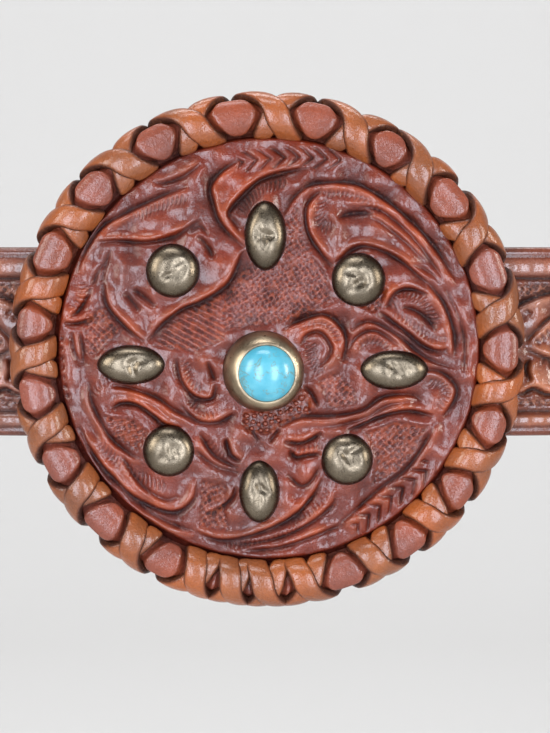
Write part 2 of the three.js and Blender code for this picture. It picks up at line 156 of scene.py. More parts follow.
def add_piece(name, points, faces, node, slot, attributes=None):
    mesh = bpy.data.meshes.new(name)
    mesh.from_pydata(np.asarray(points, float).reshape(-1, 3).tolist(), [], faces)
    shape = bmesh.new()
    shape.from_mesh(mesh)
    bmesh.ops.recalc_face_normals(shape, faces=shape.faces)
    for face in shape.faces:
        face.smooth = True
    shape.to_mesh(mesh)
    shape.free()
    for key, values in (attributes or {}).items():
        layer = mesh.attributes.new(key, "FLOAT", "POINT")
        layer.data.foreach_set("value", np.asarray(values, np.float32).ravel())
    mesh.materials.append(MATERIALS[slot])
    piece = bpy.data.objects.new(name, mesh)
    bpy.context.scene.collection.objects.link(piece)
    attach(piece, "root")
    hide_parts(node)
    return piece


def ring_faces(rings, count, start=0):
    """Faces of a closed body through rings of equal count, with a lid at both ends."""
    faces = grid_faces(rings, count, wrap_columns=True, start=start)
    first = list(range(start, start + count))
    last = list(range(start + (rings - 1) * count, start + rings * count))
    return faces + [first[::-1], last]


def turned_rings(profile, centre, angles):
    """Rings round a place on the concho, for each radius and height of a profile."""
    rings = []
    for radius, out in profile:
        right = centre[0] + radius * np.cos(angles)
        up = centre[1] + radius * np.sin(angles)
        rings.append(concho_points(right, up, out))
    return rings


def full_turn(count):
    return np.linspace(0.0, 2.0 * math.pi, count, endpoint=False)


# Materials
def new_material(name):
    material = bpy.data.materials.new(name)
    material.use_nodes = True
    tree = material.node_tree
    shader = next(n for n in tree.nodes if n.type == "BSDF_PRINCIPLED")
    return material, tree, shader


def set_inputs(tree, node, inputs):
    """Gives each socket its number, its colour or a link from another node's output."""
    for key, value in inputs.items():
        socket = node.inputs[key]
        if isinstance(value, bpy.types.NodeSocket):
            tree.links.new(value, socket)
        elif isinstance(value, tuple):
            socket.default_value = (*value, 1.0)
        else:
            socket.default_value = value


def add_node(tree, kind, inputs, output, **settings):
    node = tree.nodes.new(kind)
    for key, value in settings.items():
        setattr(node, key, value)
    set_inputs(tree, node, inputs)
    return node.outputs[output]


def noise(tree, place, scale, detail, roughness, distortion=0.0):
    inputs = {"Scale": scale, "Detail": detail, "Roughness": roughness, "Distortion": distortion}
    return add_node(tree, "ShaderNodeTexNoise", {"Vector": place, **inputs}, "Fac")


def ramp(tree, value, stops):
    node = tree.nodes.new("ShaderNodeValToRGB")
    elements = node.color_ramp.elements
    while len(elements) < len(stops):
        elements.new(0.5)
    for element, (place, colour) in zip(elements, stops):
        element.position = place
        element.color = (*colour, 1.0)
    tree.links.new(value, node.inputs["Fac"])
    return node.outputs["Color"]


def map_range(tree, value, low, high, to_low, to_high):
    inputs = {"From Min": low, "From Max": high, "To Min": to_low, "To Max": to_high}
    return add_node(tree, "ShaderNodeMapRange", {"Value": value, **inputs}, "Result")


def blend_colours(tree, share, first, second, mode="MIX"):
    """The second colour over the first, by a share; 6, 7 and 2 are the node's colour sockets."""
    inputs = {0: share, 6: first, 7: second}
    return add_node(tree, "ShaderNodeMix", inputs, 2, data_type="RGBA", blend_type=mode)


def scale_by(tree, value, factor):
    return add_node(tree, "ShaderNodeMath", {0: value, 1: factor}, 0, operation="MULTIPLY")


def add_up(tree, first, second):
    return add_node(tree, "ShaderNodeMath", {0: first, 1: second}, 0, operation="ADD")


def attribute(tree, name):
    return add_node(tree, "ShaderNodeAttribute", {}, "Fac", attribute_name=name)


def place_of(tree):
    return add_node(tree, "ShaderNodeTexCoord", {}, "Object")


def bump(tree, height, strength, distance):
    inputs = {"Strength": strength, "Distance": distance, "Height": height}
    return add_node(tree, "ShaderNodeBump", inputs, "Normal")


# Scales of the leather's noises and cells, to the metre, and the depth of its bump in metres
WIDE_SCALE = 42.0
PATCH_SCALE = 90.0
STAMP_SCALE = 1050.0
GRAIN_SCALE = 1500.0
PORE_SCALE = 3600.0
LEATHER_BUMP = 0.0003
ROUGHNESS_SPREAD = 0.2
COAT_ROUGHNESS = 0.17
COAT_STAMPS = 0.7
COAT_GRAIN = 0.22
# Wide patches: warm ones are uneven dye, cool lavender ones are a painted sheen
WARM_TINT = (1.0, 0.88, 0.62)
COOL_SHEEN_TINT = (0.86, 0.92, 1.0)


def leather_material(name, dark, middle, light, rough, grain, coat):
    """Leather that is dark where its tone attribute is low, and light where it is high. The tone holds
    antique stain and also painted shade and painted sheen.
    """
    material, tree, shader = new_material(name)
    place = place_of(tree)
    patches = noise(tree, place, PATCH_SCALE, 5.0, 0.6)
    fine = noise(tree, place, GRAIN_SCALE, 3.0, 0.6)
    tone = attribute(tree, "tone")
    # The tone's colours: antique stain in the cuts, painted shade in gaps and hollows, painted sheen on
    # rises
    stain_shade_and_sheen = ramp(tree, tone, [(0.0, dark), (0.5, middle), (1.0, light)])
    mottled = blend_colours(tree, map_range(tree, patches, 0.3, 0.7, 0.0, 0.55), stain_shade_and_sheen, dark)
    cells = add_node(tree, "ShaderNodeTexVoronoi", {"Vector": place, "Scale": STAMP_SCALE}, "Distance")
    stamps = scale_by(tree, cells, attribute(tree, "ground"))
    # Painted highlight: the walls between the stamped cells are lightened
    netted = blend_colours(tree, map_range(tree, stamps, 0.35, 0.62, 0.0, 0.3), mottled, light)
    worn = blend_colours(tree, map_range(tree, fine, 0.55, 0.8, 0.0, 0.25), netted, light)
    # Painted sheen: wide noise cools some patches to lavender, between warm patches of uneven dye
    wide = noise(tree, place, WIDE_SCALE, 3.0, 0.5, 0.4)
    dye_and_sheen_tint = ramp(tree, wide, [(0.38, WARM_TINT), (0.6, COOL_SHEEN_TINT)])
    stamps = scale_by(tree, stamps, 0.8)
    pores = noise(tree, place, PORE_SCALE, 2.0, 0.5)
    pores = add_up(tree, fine, scale_by(tree, pores, 0.45))
    surface = add_up(tree, stamps, scale_by(tree, pores, grain))
    polished = scale_by(tree, stamps, COAT_STAMPS)
    polished = add_up(tree, polished, scale_by(tree, pores, COAT_GRAIN * grain))
    looks = {
        "Base Color": blend_colours(tree, 1.0, worn, dye_and_sheen_tint, "MULTIPLY"),
        "Roughness": map_range(tree, patches, 0.3, 0.7, rough, rough + ROUGHNESS_SPREAD),
        "Specular IOR Level": 0.15,
        "Normal": bump(tree, surface, 1.0, LEATHER_BUMP),
        "Coat Weight": map_range(tree, tone, 0.12, 0.5, 0.05, coat),
        "Coat Roughness": COAT_ROUGHNESS,
        "Coat Normal": bump(tree, polished, 1.0, LEATHER_BUMP),
    }
    set_inputs(tree, shader, looks)
    return material


def metal_material(name, edge, dark, light, rough):
    """Worn metal, darker where its tone attribute is low, from patina and a painted dark reflection."""
    material, tree, shader = new_material(name)
    place = place_of(tree)
    patches = noise(tree, place, 160.0, 4.0, 0.55)
    scratches = noise(tree, place, 900.0, 4.0, 0.7, 2.5)
    base = ramp(tree, patches, [(0.3, dark), (0.62, light)])
    looks = {
        "Base Color": blend_colours(tree, attribute(tree, "tone"), edge, base),
        "Metallic": 1.0,
        "Roughness": map_range(tree, scratches, 0.3, 0.7, rough - 0.1, rough + 0.15),
        "Normal": bump(tree, scratches, 0.3, 0.0001),
    }
    set_inputs(tree, shader, looks)
    return material


def turquoise_material():
    material, tree, shader = new_material("turquoise")
    place = place_of(tree)
    clouds = noise(tree, place, 320.0, 5.0, 0.6)
    body = ramp(tree, clouds, [(0.3, (0.045, 0.26, 0.345)), (0.7, (0.1, 0.345, 0.42))])
    veins = noise(tree, place, 150.0, 6.0, 0.6, 0.6)
    line = ramp(tree, veins, [(0.478, (0, 0, 0)), (0.488, (0.9, 0.9, 0.9)), (0.499, (0, 0, 0))])
    veined = blend_colours(tree, line, body, (0.12, 0.16, 0.12))
    set_inputs(tree, shader, {"Base Color": veined, "Roughness": 0.22, "IOR": 1.5})
    return material


# Leathers. Columns: dark, middle, light, lowest roughness, grain, coat.
LEATHERS = {
    "carved_leather": ((0.022, 0.005, 0.005), (0.148, 0.016, 0.005), (0.345, 0.066, 0.022), 0.3, 0.9, 0.75),
    "belt_leather": ((0.018, 0.006, 0.005), (0.178, 0.039, 0.018), (0.5, 0.195, 0.125), 0.3, 0.8, 1.0),
    "binding_leather": ((0.03, 0.01, 0.01), (0.225, 0.045, 0.022), (0.355, 0.1, 0.053), 0.35, 1.0, 0.7),
    "lace_leather": ((0.03, 0.011, 0.009), (0.28, 0.066, 0.014), (0.44, 0.146, 0.042), 0.3, 1.0, 0.8),
}

# Metals. Columns: edge colour of patina and painted dark reflection, dark, light, middle roughness.
METALS = {
    "stud_metal": ((0.014, 0.01, 0.007), (0.073, 0.056, 0.038), (0.168, 0.134, 0.095), 0.28),
    "bezel_metal": ((0.09, 0.064, 0.04), (0.16, 0.12, 0.08), (0.4, 0.31, 0.205), 0.33),
}

MATERIALS = {name: leather_material(name, *row) for name, row in LEATHERS.items()}
MATERIALS.update({name: metal_material(name, *row) for name, row in METALS.items()})
MATERIALS["clasp_metal"] = MATERIALS["stud_metal"]
MATERIALS["turquoise"] = turquoise_material()


# Carving, charted in millimetres right and up from the concho's middle. Each cut has a bevelled
# side: 1 is the left of its run, -1 the right and 0 both. Columns: side, bevel width, depth, places.
CUTS = {
    "upper_left_lobe": (1, 1.2, 0.7, [(-13.4, 37), (-17, 34.5), (-21.1, 33.1), (-23.1, 33.4)]),
    "upper_left_leaf": (-1, 1.6, 0.9, [
        (-16.1, 32.5), (-22.2, 30.1), (-28.8, 27), (-33.4, 24.3), (-36.6, 19.8), (-38.4, 15.2),
    ]),
    "upper_left_leaf_foot": (-1, 1.7, 0.85, [
        (-34.3, 21.3), (-29.7, 21.6), (-24.6, 21.3), (-20, 22.2), (-16.7, 23.7), (-13.4, 25.8),
    ]),
    "left_stem": (0, 0.5, 0.6, [(-31.6, 20.1), (-32.9, 15.8), (-33.4, 13.1)]),
    "left_stem_outer": (0, 0.5, 0.6, [(-32.8, 17.4), (-34.3, 14.9), (-35.2, 12.5)]),
    "scroll_outer": (-1, 1.8, 1.0, [
        (-5.7, 37.7), (-9.3, 35.5), (-11.6, 32.5), (-11.1, 28.9), (-9.3, 24.6), (-4.8, 20.1),
    ]),
    "scroll_inner": (1, 2.0, 1.05, [
        (7.9, 36.1), (2.5, 35.1), (-2.1, 33.4), (-6.3, 29.5), (-8, 27), (-6.9, 25.2), (-5.7, 23.7),
    ]),
    "right_leaf_back": (1, 1.7, 1.05, [
        (2.9, 26.7), (5.2, 30.4), (8.9, 32.8), (15.9, 33.1), (20.2, 31.6), (25, 28.4), (29.6, 24.3),
        (33.2, 20.1), (36.2, 15.5), (37.8, 13.1),
    ]),
    "right_leaf_front": (-1, 1.4, 0.95, [(10.7, 31.9), (7.6, 28.6), (7.8, 23.4), (11, 18.3), (12.8, 16.6)]),
    "right_leaf_eye": (0, 1.0, 1.0, [(13.6, 26), (16, 26.9), (18.4, 27.2), (20.8, 27)]),
    "right_leaf_vein": (-1, 0.8, 0.6, [
        (15, 28.3), (21.4, 27.9), (25.9, 24.9), (30.2, 20.4), (33.5, 15.8), (35, 13.1),
    ]),
    "right_leaf_vein_low": (-1, 0.7, 0.5, [(19.5, 26.2), (22.3, 25.2), (27.2, 21.3), (31.6, 16.9)]),
    "right_leaf_vein_out": (0, 0.5, 0.5, [(30.8, 25.2), (35, 19.8), (36.9, 17)]),
    "right_stud_arc": (-1, 1.4, 0.9, [
        (13.2, 17.2), (17.8, 20.4), (22.6, 19.6), (26.6, 17.4), (30.2, 14.3), (32, 12.8),
    ]),
    "right_stud_arc_out": (0, 0.6, 0.5, [(28, 17.2), (32.6, 14.9), (34.2, 12.6)]),
    "petal_left": (-1, 1.7, 0.95, [(-33.1, 13.4), (-32.2, 8.6), (-28.8, 4.6), (-24.9, 1.3)]),
    "petal_low": (-1, 1.8, 1.0, [
        (-24, 1.6), (-21.3, 4.9), (-17.3, 7.9), (-13.4, 9.5), (-8.1, 13.1), (-5.7, 18), (-4.8, 19.8),
    ]),
    "petal_slash_a": (0, 0.7, 0.8, [(-28.8, 11.3), (-27.4, 9.6), (-25.7, 7.5)]),
    "petal_slash_b": (0, 0.7, 0.8, [(-27, 11.9), (-25.2, 10.7), (-22.5, 8.4)]),
    "petal_slash_c": (0, 0.8, 0.9, [(-14.3, 22.6), (-12.6, 21), (-11, 18)]),
    "petal_slash_d": (0, 0.6, 0.7, [(-16.4, 22.8), (-13.8, 24.4), (-11.9, 22.4)]),
    "left_shell": (1, 0.9, 0.7, [(-35.6, 12.4), (-36.1, 10.7), (-37.9, 7.9), (-39.7, 6.1)]),
    "left_shell_foot": (-1, 1.0, 0.8, [(-41, 5.2), (-38.8, 5.1), (-36.1, 5.8), (-34.3, 6.7)]),
    "left_drop": (-1, 0.8, 0.7, [(-39.4, 3.4), (-39, 0), (-37.6, -3.3)]),
    "left_drop_back": (1, 0.7, 0.7, [(-37.9, 3.4), (-37.3, 0), (-37.1, -3.3)]),
    "left_low_stem": (1, 1.4, 0.85, [
        (-36.1, -6.3), (-35.5, -10.8), (-33.4, -15.1), (-31.3, -18.4), (-27.6, -21.2), (-25.2, -21.9),
    ]),
    "low_left_scroll": (1, 1.2, 0.8, [
        (-31.5, -7.4), (-27.9, -7.8), (-22.8, -9.6), (-18.5, -12.4), (-13.4, -14.8),
    ]),
    "low_left_slit": (-1, 1.2, 1.1, [
        (-31.4, -12), (-29.6, -10.9), (-26.4, -11.2), (-22.8, -13.6), (-21, -15.1), (-17.6, -16),
    ]),
    "low_left_leaf": (-1, 1.6, 0.95, [
        (-38.2, -15.4), (-34.6, -22.1), (-29.7, -27.5), (-25.2, -30.9), (-19.1, -32.8), (-15.2, -30.2),
        (-14.1, -25.9),
    ]),
    "low_left_leaf_vein": (1, 0.9, 0.6, [(-30, -20.4), (-26, -26.9), (-21, -30.2), (-18, -29.6)]),
    "left_spiral": (-1, 1.2, 0.9, [(-18.4, -1.8), (-17.6, -6), (-14.8, -9.6), (-11.4, -9.8), (-10.4, -6.8)]),
    "left_spiral_slit": (0, 0.6, 0.9, [(-12.3, -2.4), (-11.4, -4.6), (-10.8, -6.4)]),
    "left_spiral_foot": (-1, 1.2, 0.8, [(-17.8, -11), (-14.4, -14.2), (-10.2, -14.6), (-6.4, -12.6)]),
    "low_stud_cut": (-1, 1.1, 1.1, [(-8.6, -17.8), (-8, -20.2), (-7.2, -21.5), (-5.6, -22.4)]),
    "low_left_line_a": (0, 0.6, 0.7, [(-14.8, -20.2), (-10.8, -23.3), (-6, -24.9)]),
    "low_left_line_b": (1, 1.1, 0.8, [(-13.9, -16.9), (-11.1, -21.2), (-6.2, -24)]),
    "low_left_line_c": (1, 1.0, 0.8, [(-6.6, -27.5), (-7.2, -29.6), (-9.6, -31.8), (-12.6, -33.2)]),
    "low_fork_left": (0, 0.6, 0.8, [(-4.8, -15.4), (-3.4, -16.4), (-2, -18.4)]),
    "low_fork_right": (0, 0.6, 0.8, [(2.2, -16), (1.2, -17), (0.1, -18.8)]),
    "bottom_arc_a": (-1, 1.6, 1.0, [
        (-14.8, -36.6), (-11.1, -38.2), (-7.2, -38.4), (-1.7, -36.9), (4.9, -33.6), (8.9, -29.3),
        (10.8, -25.7),
    ]),
    "bottom_arc_b": (-1, 1.1, 0.8, [
        (-10, -39.4), (-4, -39.2), (2.2, -37.9), (7.6, -35.4), (12.5, -31.5), (13.6, -28.6),
    ]),
    "bottom_arc_c": (-1, 1.1, 0.7, [(-6, -40.8), (2.2, -39.9), (8, -38), (15.2, -35.1)]),
    "bottom_left_edge": (1, 1.1, 0.7, [(-29.6, -28.6), (-24, -32.8), (-18.6, -35.6), (-14.8, -36.6)]),
    "low_right_slit_a": (-1, 0.9, 1.0, [(3, -18.4), (6, -18.8), (8.2, -18.1), (10.7, -16.6)]),
    "low_right_slit_b": (-1, 1.0, 1.05, [(4.2, -20.2), (5.4, -21.6), (7.6, -21.2), (10.4, -20.9)]),
    "low_right_slit_c": (0, 0.6, 0.8, [(3.6, -25), (6.4, -27.4), (8.6, -26.2), (10.2, -23.6)]),
    "centre_slash": (1, 0.8, 0.9, [(7, -7.4), (8.6, -9.2), (9.8, -11.6)]),
    "petal_right_a": (1, 1.4, 1.0, [(2.6, 4), (7, 6), (11, 6.9), (14, 4.9), (15.4, 1.9), (14.7, -2.7)]),
    "petal_right_a_eye": (-1, 0.9, 0.75, [
        (6.4, 0.6), (7.6, 2.9), (10.4, 3.3), (12.5, 0.4), (11.8, -1.8), (10.2, -3.4),
    ]),
    "petal_right_b": (1, 1.0, 0.8, [(15.3, -1.1), (17.5, 2.4), (21.1, 3.7), (24.7, 1.6), (25.9, 0.7)]),
    "petal_right_stem": (1, 1.3, 0.85, [
        (15.4, 2.6), (17.8, 4.8), (20.6, 5.4), (25.6, 2.8), (29.9, -0.8), (33.6, -2.9), (37.2, -4),
    ]),
    "right_low_leaf": (-1, 1.5, 0.95, [
        (22, 7.6), (24.6, 5.6), (27.2, 3.6), (30.8, 0.7), (33.8, -0.4), (36, 0),
    ]),
    "right_low_leaf_out": (1, 1.3, 0.95, [(31.6, 13.4), (35, 8.9), (36.9, 3.4), (37.2, -1.4)]),
    "right_low_leaf_eye": (0, 0.8, 0.95, [(26.6, 8.4), (29, 7.8), (31.4, 6.2), (33.4, 3.6)]),
    "right_low_leaf_top": (-1, 1.0, 0.8, [(23.4, 8), (25, 11), (28, 12), (31.6, 10.8)]),
    "right_border_line": (0, 0.6, 0.6, [(35, 12.6), (36.9, 8.6), (38.4, 4.9), (39.2, 0.8), (39, -6)]),
    "right_lobe": (1, 1.3, 0.9, [(31, -4), (34.4, -4.6), (37.3, -7.4), (37.3, -9.9), (35, -13.6)]),
    "right_stem_a": (1, 1.3, 0.9, [
        (2.2, -15.4), (6.4, -13.6), (12.5, -13.4), (18.7, -12.2), (22.9, -9.6), (28.4, -9.1),
        (30.4, -10.4),
    ]),
    "right_stem_b": (-1, 1.2, 0.9, [(15.5, -16.4), (19, -14.9), (22, -13.6), (27.5, -12.4), (33, -13.4)]),
    "right_stem_c": (0, 0.6, 0.6, [(9, -15.6), (14, -15.2), (19.6, -13.6), (24, -11.2), (28, -10.6)]),
    "low_right_field": (-1, 1.2, 0.85, [
        (33.4, -14.6), (32, -17.6), (30, -21), (27.2, -24.5), (22.6, -27.8), (17.8, -32.1),
        (13.8, -35.4),
    ]),
}

# Rows of short curved ribs. Columns: length to the left of the run, pitch, depth, bow, places.
RIBS = {
    "upper_left_leaf": (-2.6, 0.95, 0.35, 0.25, [(-31, 23.6), (-27, 27), (-22.2, 29.4), (-16.4, 31.2)]),
    "scroll": (-2.6, 0.95, 0.4, 0.2, [(-6.6, 26.8), (-5.4, 29.3), (-1.7, 32.6), (3.4, 34.4)]),
    "right_leaf": (3.4, 0.95, 0.4, 0.25, [(9.4, 30.4), (9, 27.6), (9.6, 24.6), (11.6, 22.4)]),
    "right_leaf_top": (-1.9, 0.95, 0.35, 0.2, [(10.6, 31.6), (14.6, 31.6), (19, 30.4), (23, 28)]),
    "left_shell": (2.4, 0.95, 0.4, 0.2, [(-37.6, 13.6), (-38, 10.8), (-40, 8.4)]),
    "low_left_scroll": (2.0, 0.95, 0.35, -0.2, [(-34.6, -10), (-33, -7.6), (-30, -6.2), (-26.2, -7.2)]),
    "low_left_leaf": (2.8, 0.95, 0.38, 0.2, [(-34.6, -19.4), (-30.6, -23.6), (-26.1, -26.6), (-21, -28.8)]),
    "left_spiral": (2.6, 0.95, 0.4, 0.25, [(-17.8, -2), (-17, -6), (-14.2, -9.2)]),
    "left_spiral_foot": (2.4, 0.95, 0.35, 0.2, [(-16.6, -10.6), (-14, -13.6), (-10.4, -14)]),
    "petal_right_a": (3.0, 0.9, 0.45, 0.3, [(7.4, 1.8), (7.2, -0.8), (8.2, -3.6), (10.2, -5.6)]),
    "petal_right_fan": (-2.0, 0.95, 0.35, 0.2, [(6.6, 5.4), (10.4, 6.1), (13.2, 4.4), (14.6, 1.6)]),
    "petal_right_b": (-2.4, 0.95, 0.35, 0.2, [(16.8, 1), (19.4, 3), (22.6, 2.4), (24.8, 0.8)]),
    "right_low_leaf": (-2.4, 0.95, 0.4, 0.25, [(23.6, 8.6), (26, 11), (29.4, 11), (32.4, 9), (34.6, 5.4)]),
    "right_low_leaf_in": (2.2, 0.95, 0.35, 0.2, [(24.2, 6.6), (28, 4.2), (32, 1.4), (35.6, 1)]),
    "right_lobe": (-2.6, 0.95, 0.4, 0.25, [(32, -5.6), (35.2, -6.4), (36.4, -9), (34.6, -12.6)]),
    "bottom_arc": (-1.6, 0.95, 0.3, 0.15, [(5.6, -34), (9, -31.2), (11.4, -27.4)]),
    "bottom_arc_low": (-1.5, 0.95, 0.3, 0.15, [(-9, -38.9), (-3.6, -38.4), (1.6, -37), (6, -34.6)]),
    "left_comb": (-1.9, 1.9, 0.5, 0.0, [(-40.9, 3), (-41.1, -1), (-40.6, -6), (-39.6, -10.6)]),
    "low_left_fan": (1.6, 0.95, 0.3, 0.1, [(-13, -18.4), (-10, -21.6), (-7.4, -22.6)]),
    "low_right_fan": (-2.0, 0.95, 0.35, 0.2, [(3.8, -19.6), (7, -19.4), (11, -18.2)]),
}

# Rows of chevrons along a spine. Columns: arm, pitch, slant, depth, places.
CHEVRONS = {
    "top": (2.3, 2.8, 1.15, 0.75, [(-6.6, 37), (-2, 37.7), (5, 38.2), (14.8, 37.6)]),
    "low_right": (2.5, 2.9, 1.0, 0.75, [
        (16.8, -36.2), (20.5, -33), (25.3, -29.2), (30.2, -25.6), (33, -23.2),
    ]),
}

# Stamped grounds inside an outline. Columns: pattern, pitch, turn in degrees, depth, outline.
GROUNDS = {
    "centre": ("mesh", 0.95, 35, 0.4, [
        (-9, 3.4), (-10.6, 7.4), (-7.4, 12.6), (-4.4, 17.4), (3.2, 17.2), (3.4, 25.6), (5.6, 29.6),
        (6.8, 24), (8.4, 19), (11.2, 16), (12.6, 9), (9, 7.4), (4, 5.6), (-3, 4.4),
    ]),
    "left_of_centre": ("line", 1.1, 62, 0.4, [
        (-22.8, 0.6), (-20, 5.4), (-14, 8.8), (-9.4, 11.4), (-8.4, 7), (-9, 2), (-15, -0.6),
    ]),
    "left_basket": ("mesh", 1.2, 45, 0.5, [
        (-36.8, 6.6), (-33.4, 8.6), (-29.6, 3.6), (-34.6, -1.4), (-37, -0.6),
    ]),
    "low_left": ("mesh", 1.0, 20, 0.5, [
        (-33.4, -13.2), (-27, -14), (-24.2, -16.4), (-26.2, -20.8), (-31, -17.8),
    ]),
    "below_left": ("mesh", 1.0, 30, 0.45, [
        (-13.8, -26), (-8.6, -27), (-8.6, -31.6), (-8, -36.4), (-14, -35.6),
    ]),
    "low_right": ("mesh", 1.1, 45, 0.5, [
        (19, -16.6), (25.4, -14.4), (32, -15.4), (29.6, -20.4), (26.2, -24.6), (20.4, -27.4),
        (21.6, -22),
    ]),
    "right_of_oval": ("mesh", 1.0, 40, 0.45, [
        (16.4, 9.8), (21.4, 6.8), (22.8, 9.6), (23.6, 12), (22, 12.4),
    ]),
    "right_lower": ("mesh", 1.0, 40, 0.45, [(9.6, -6), (13.6, -4.4), (17, -8), (17.6, -11), (12, -12.2)]),
    "beads": ("none", 1.0, 0, 1.0, [
        (8.4, -8.8), (8.4, -12.6), (3, -14.8), (0.6, -16.8), (-3.8, -16.8), (-5.4, -14.8), (-5.2, -12.4),
        (0, -12), (4.6, -10),
    ]),
}

# Round beads in the dark ground below the setting. Columns: right, up, radius.
BEADS = [
    (6.5, -9.6, 0.8),
    (5.4, -10.8, 0.5),
    (4.4, -12.0, 0.5),
    (6.0, -12.0, 0.5),
    (7.4, -12.0, 0.55),
    (3.6, -12.5, 0.45),
    (2.3, -12.6, 0.5),
    (1.3, -13.6, 0.5),
    (0.3, -13.1, 0.45),
    (-0.7, -13.6, 0.5),
    (-1.6, -12.9, 0.5),
    (-2.9, -13.3, 0.5),
    (-4.4, -13.3, 0.5),
    (-4.4, -14.4, 0.45),
    (-3.1, -14.5, 0.5),
    (-2.0, -15.0, 0.5),
    (-0.7, -14.9, 0.5),
    (0.6, -14.5, 0.5),
    (1.9, -14.2, 0.45),
    (-3.4, -15.8, 0.45),
    (-0.4, -16.1, 0.45),
    (-1.6, -16.2, 0.45),
]


def spline(places, step=0.5):
    """A smooth line through the places, in short steps."""
    point = np.array(places, float)
    ends = [2 * point[0] - point[1]], [2 * point[-1] - point[-2]]
    point = np.concatenate([ends[0], point, ends[1]])
    line = []
    for before, start, end, after in zip(point[:-3], point[1:-2], point[2:-1], point[3:]):
        count = max(2, int(np.hypot(*(end - start)) / step))
        t = np.linspace(0.0, 1.0, count, endpoint=False)[:, None]
        curve = 2 * start + (end - before) * t
        curve = curve + (2 * before - 5 * start + 4 * end - after) * t**2
        curve = curve + (3 * start - before - 3 * end + after) * t**3
        line.append(curve / 2)
    return np.concatenate(line + [point[-2][None]])


def beside_line(right, up, line, reach):
    """The places within reach of a line: their index, how far along, how far to its left, its length."""
    low, high = line.min(0) - reach, line.max(0) + reach
    inside = (right > low[0]) & (right < high[0]) & (up > low[1]) & (up < high[1])
    near = np.flatnonzero(inside)
    x, y = right[near], up[near]
    nearest = np.full(len(near), 1e9)
    along = np.zeros(len(near))
    left = np.zeros(len(near))
    travelled = 0.0
    for (x0, y0), (x1, y1) in zip(line[:-1], line[1:]):
        dx, dy = x1 - x0, y1 - y0
        length = math.hypot(dx, dy)
        share = np.clip(((x - x0) * dx + (y - y0) * dy) / length**2, 0.0, 1.0)
        away = np.hypot(x - x0 - share * dx, y - y0 - share * dy)
        closer = away < nearest
        nearest = np.where(closer, away, nearest)
        along = np.where(closer, travelled + share * length, along)
        left = np.where(closer, dx * (y - y0) - dy * (x - x0), left)
        travelled += length
    return near, along, np.copysign(nearest, left), travelled


def inside_outline(right, up, outline):
    """How far inside an outline each place is, in millimetres; below nothing outside it."""
    corner = np.array(outline, float)
    after = np.roll(corner, -1, 0)
    nearest = np.full(right.shape, 1e9)
    crossed = np.zeros(right.shape, bool)
    for (x0, y0), (x1, y1) in zip(corner, after):
        dx, dy = x1 - x0, y1 - y0
        share = np.clip(((right - x0) * dx + (up - y0) * dy) / (dx * dx + dy * dy), 0.0, 1.0)
        nearest = np.minimum(nearest, np.hypot(right - x0 - share * dx, up - y0 - share * dy))
        spans = (y0 > up) != (y1 > up)
        crossed ^= spans & (right < x0 + dx * (up - y0) / (dy if dy else 1e-9))
    return np.where(crossed, nearest, -nearest)


def stamped(pattern, right, up, pitch, turn):
    """A stamped pattern between 0 and 1, where 1 is lowest."""
    t = math.radians(turn)
    u = (right * math.cos(t) + up * math.sin(t)) * 2 * math.pi / pitch
    v = (up * math.cos(t) - right * math.sin(t)) * 2 * math.pi / pitch
    if pattern == "mesh":
        u = u + 0.7 * np.sin(0.23 * v + 0.11 * u)
        v = v + 0.7 * np.sin(0.19 * u - 0.13 * v)
        return np.sqrt(np.abs(np.sin(u / 2) * np.sin(v / 2)))
    if pattern == "line":
        return 0.5 + 0.5 * np.cos(u)
    return np.zeros_like(right)


# The side of a cut: how far it reaches, how deep it is, its bevelled and its steep side, and its lip
CUT_REACH = 4.5
CUT_DEPTH = 1.15
CUT_TAPER = 0.22
BEVEL_SHARE = 0.8
BEVEL_POWER = 1.15
STEEP_WIDTH = 0.34
LIP_AWAY = 0.95
LIP_WIDTH = 0.75
LIP_HEIGHT = 0.34

STAMP_DEPTH = 0.42
RIB_SHARPNESS = 1.5
STROKE_WIDTH = 0.42
SWELL_WAVES = 14
SWELL_HEIGHT = 0.012
PLAIN_TONE = 0.54


def stamp_grounds(right, up, grounds):
    """The depth of the sunk grounds, their stamps, and the walls between the stamps, which take a painted
    highlight.
    """
    ground = np.zeros_like(right)
    stamps = np.zeros_like(right)
    wall = np.zeros_like(right)
    for pattern, pitch, turn, depth, outline in grounds.values():
        within = smooth_step(inside_outline(right, up, outline), -0.6, 0.8)
        pit = stamped(pattern, right, up, pitch, turn)
        ground = np.maximum(ground, within * depth)
        stamps = np.maximum(stamps, within * STAMP_DEPTH * pit)
        if pattern != "none":
            wall = np.maximum(wall, within * np.clip(1.0 - 1.6 * pit, 0.0, 1.0))
    return ground, stamps, wall


def carve_cuts(right, up, cuts):
    """The depth of the cuts, and the height of the lips beside them."""
    cut = np.zeros_like(right)
    ridge = np.zeros_like(right)
    for side, width, depth, places in cuts.values():
        near, along, left, length = beside_line(right, up, spline(places), CUT_REACH)
        to_end = np.minimum(along, length - along)
        taper = np.sqrt(np.clip(to_end / (CUT_TAPER * length), 0.0, 1.0))
        away = np.abs(left)
        bevelled = np.exp(-((away / (BEVEL_SHARE * width)) ** BEVEL_POWER))
        steep = np.exp(-((away / STEEP_WIDTH) ** 2))
        share = bevelled if side == 0 else np.where(left * side > 0, bevelled, steep)
        cut[near] = np.maximum(cut[near], CUT_DEPTH * depth * taper * share)
        lip = np.exp(-(((away - LIP_AWAY) / LIP_WIDTH) ** 2)) * np.where(left * side < 0, 1.0, 0.35)
        ridge[near] = np.maximum(ridge[near], LIP_HEIGHT * taper * lip * (1.0 if side else 0.5))
    return cut, ridge


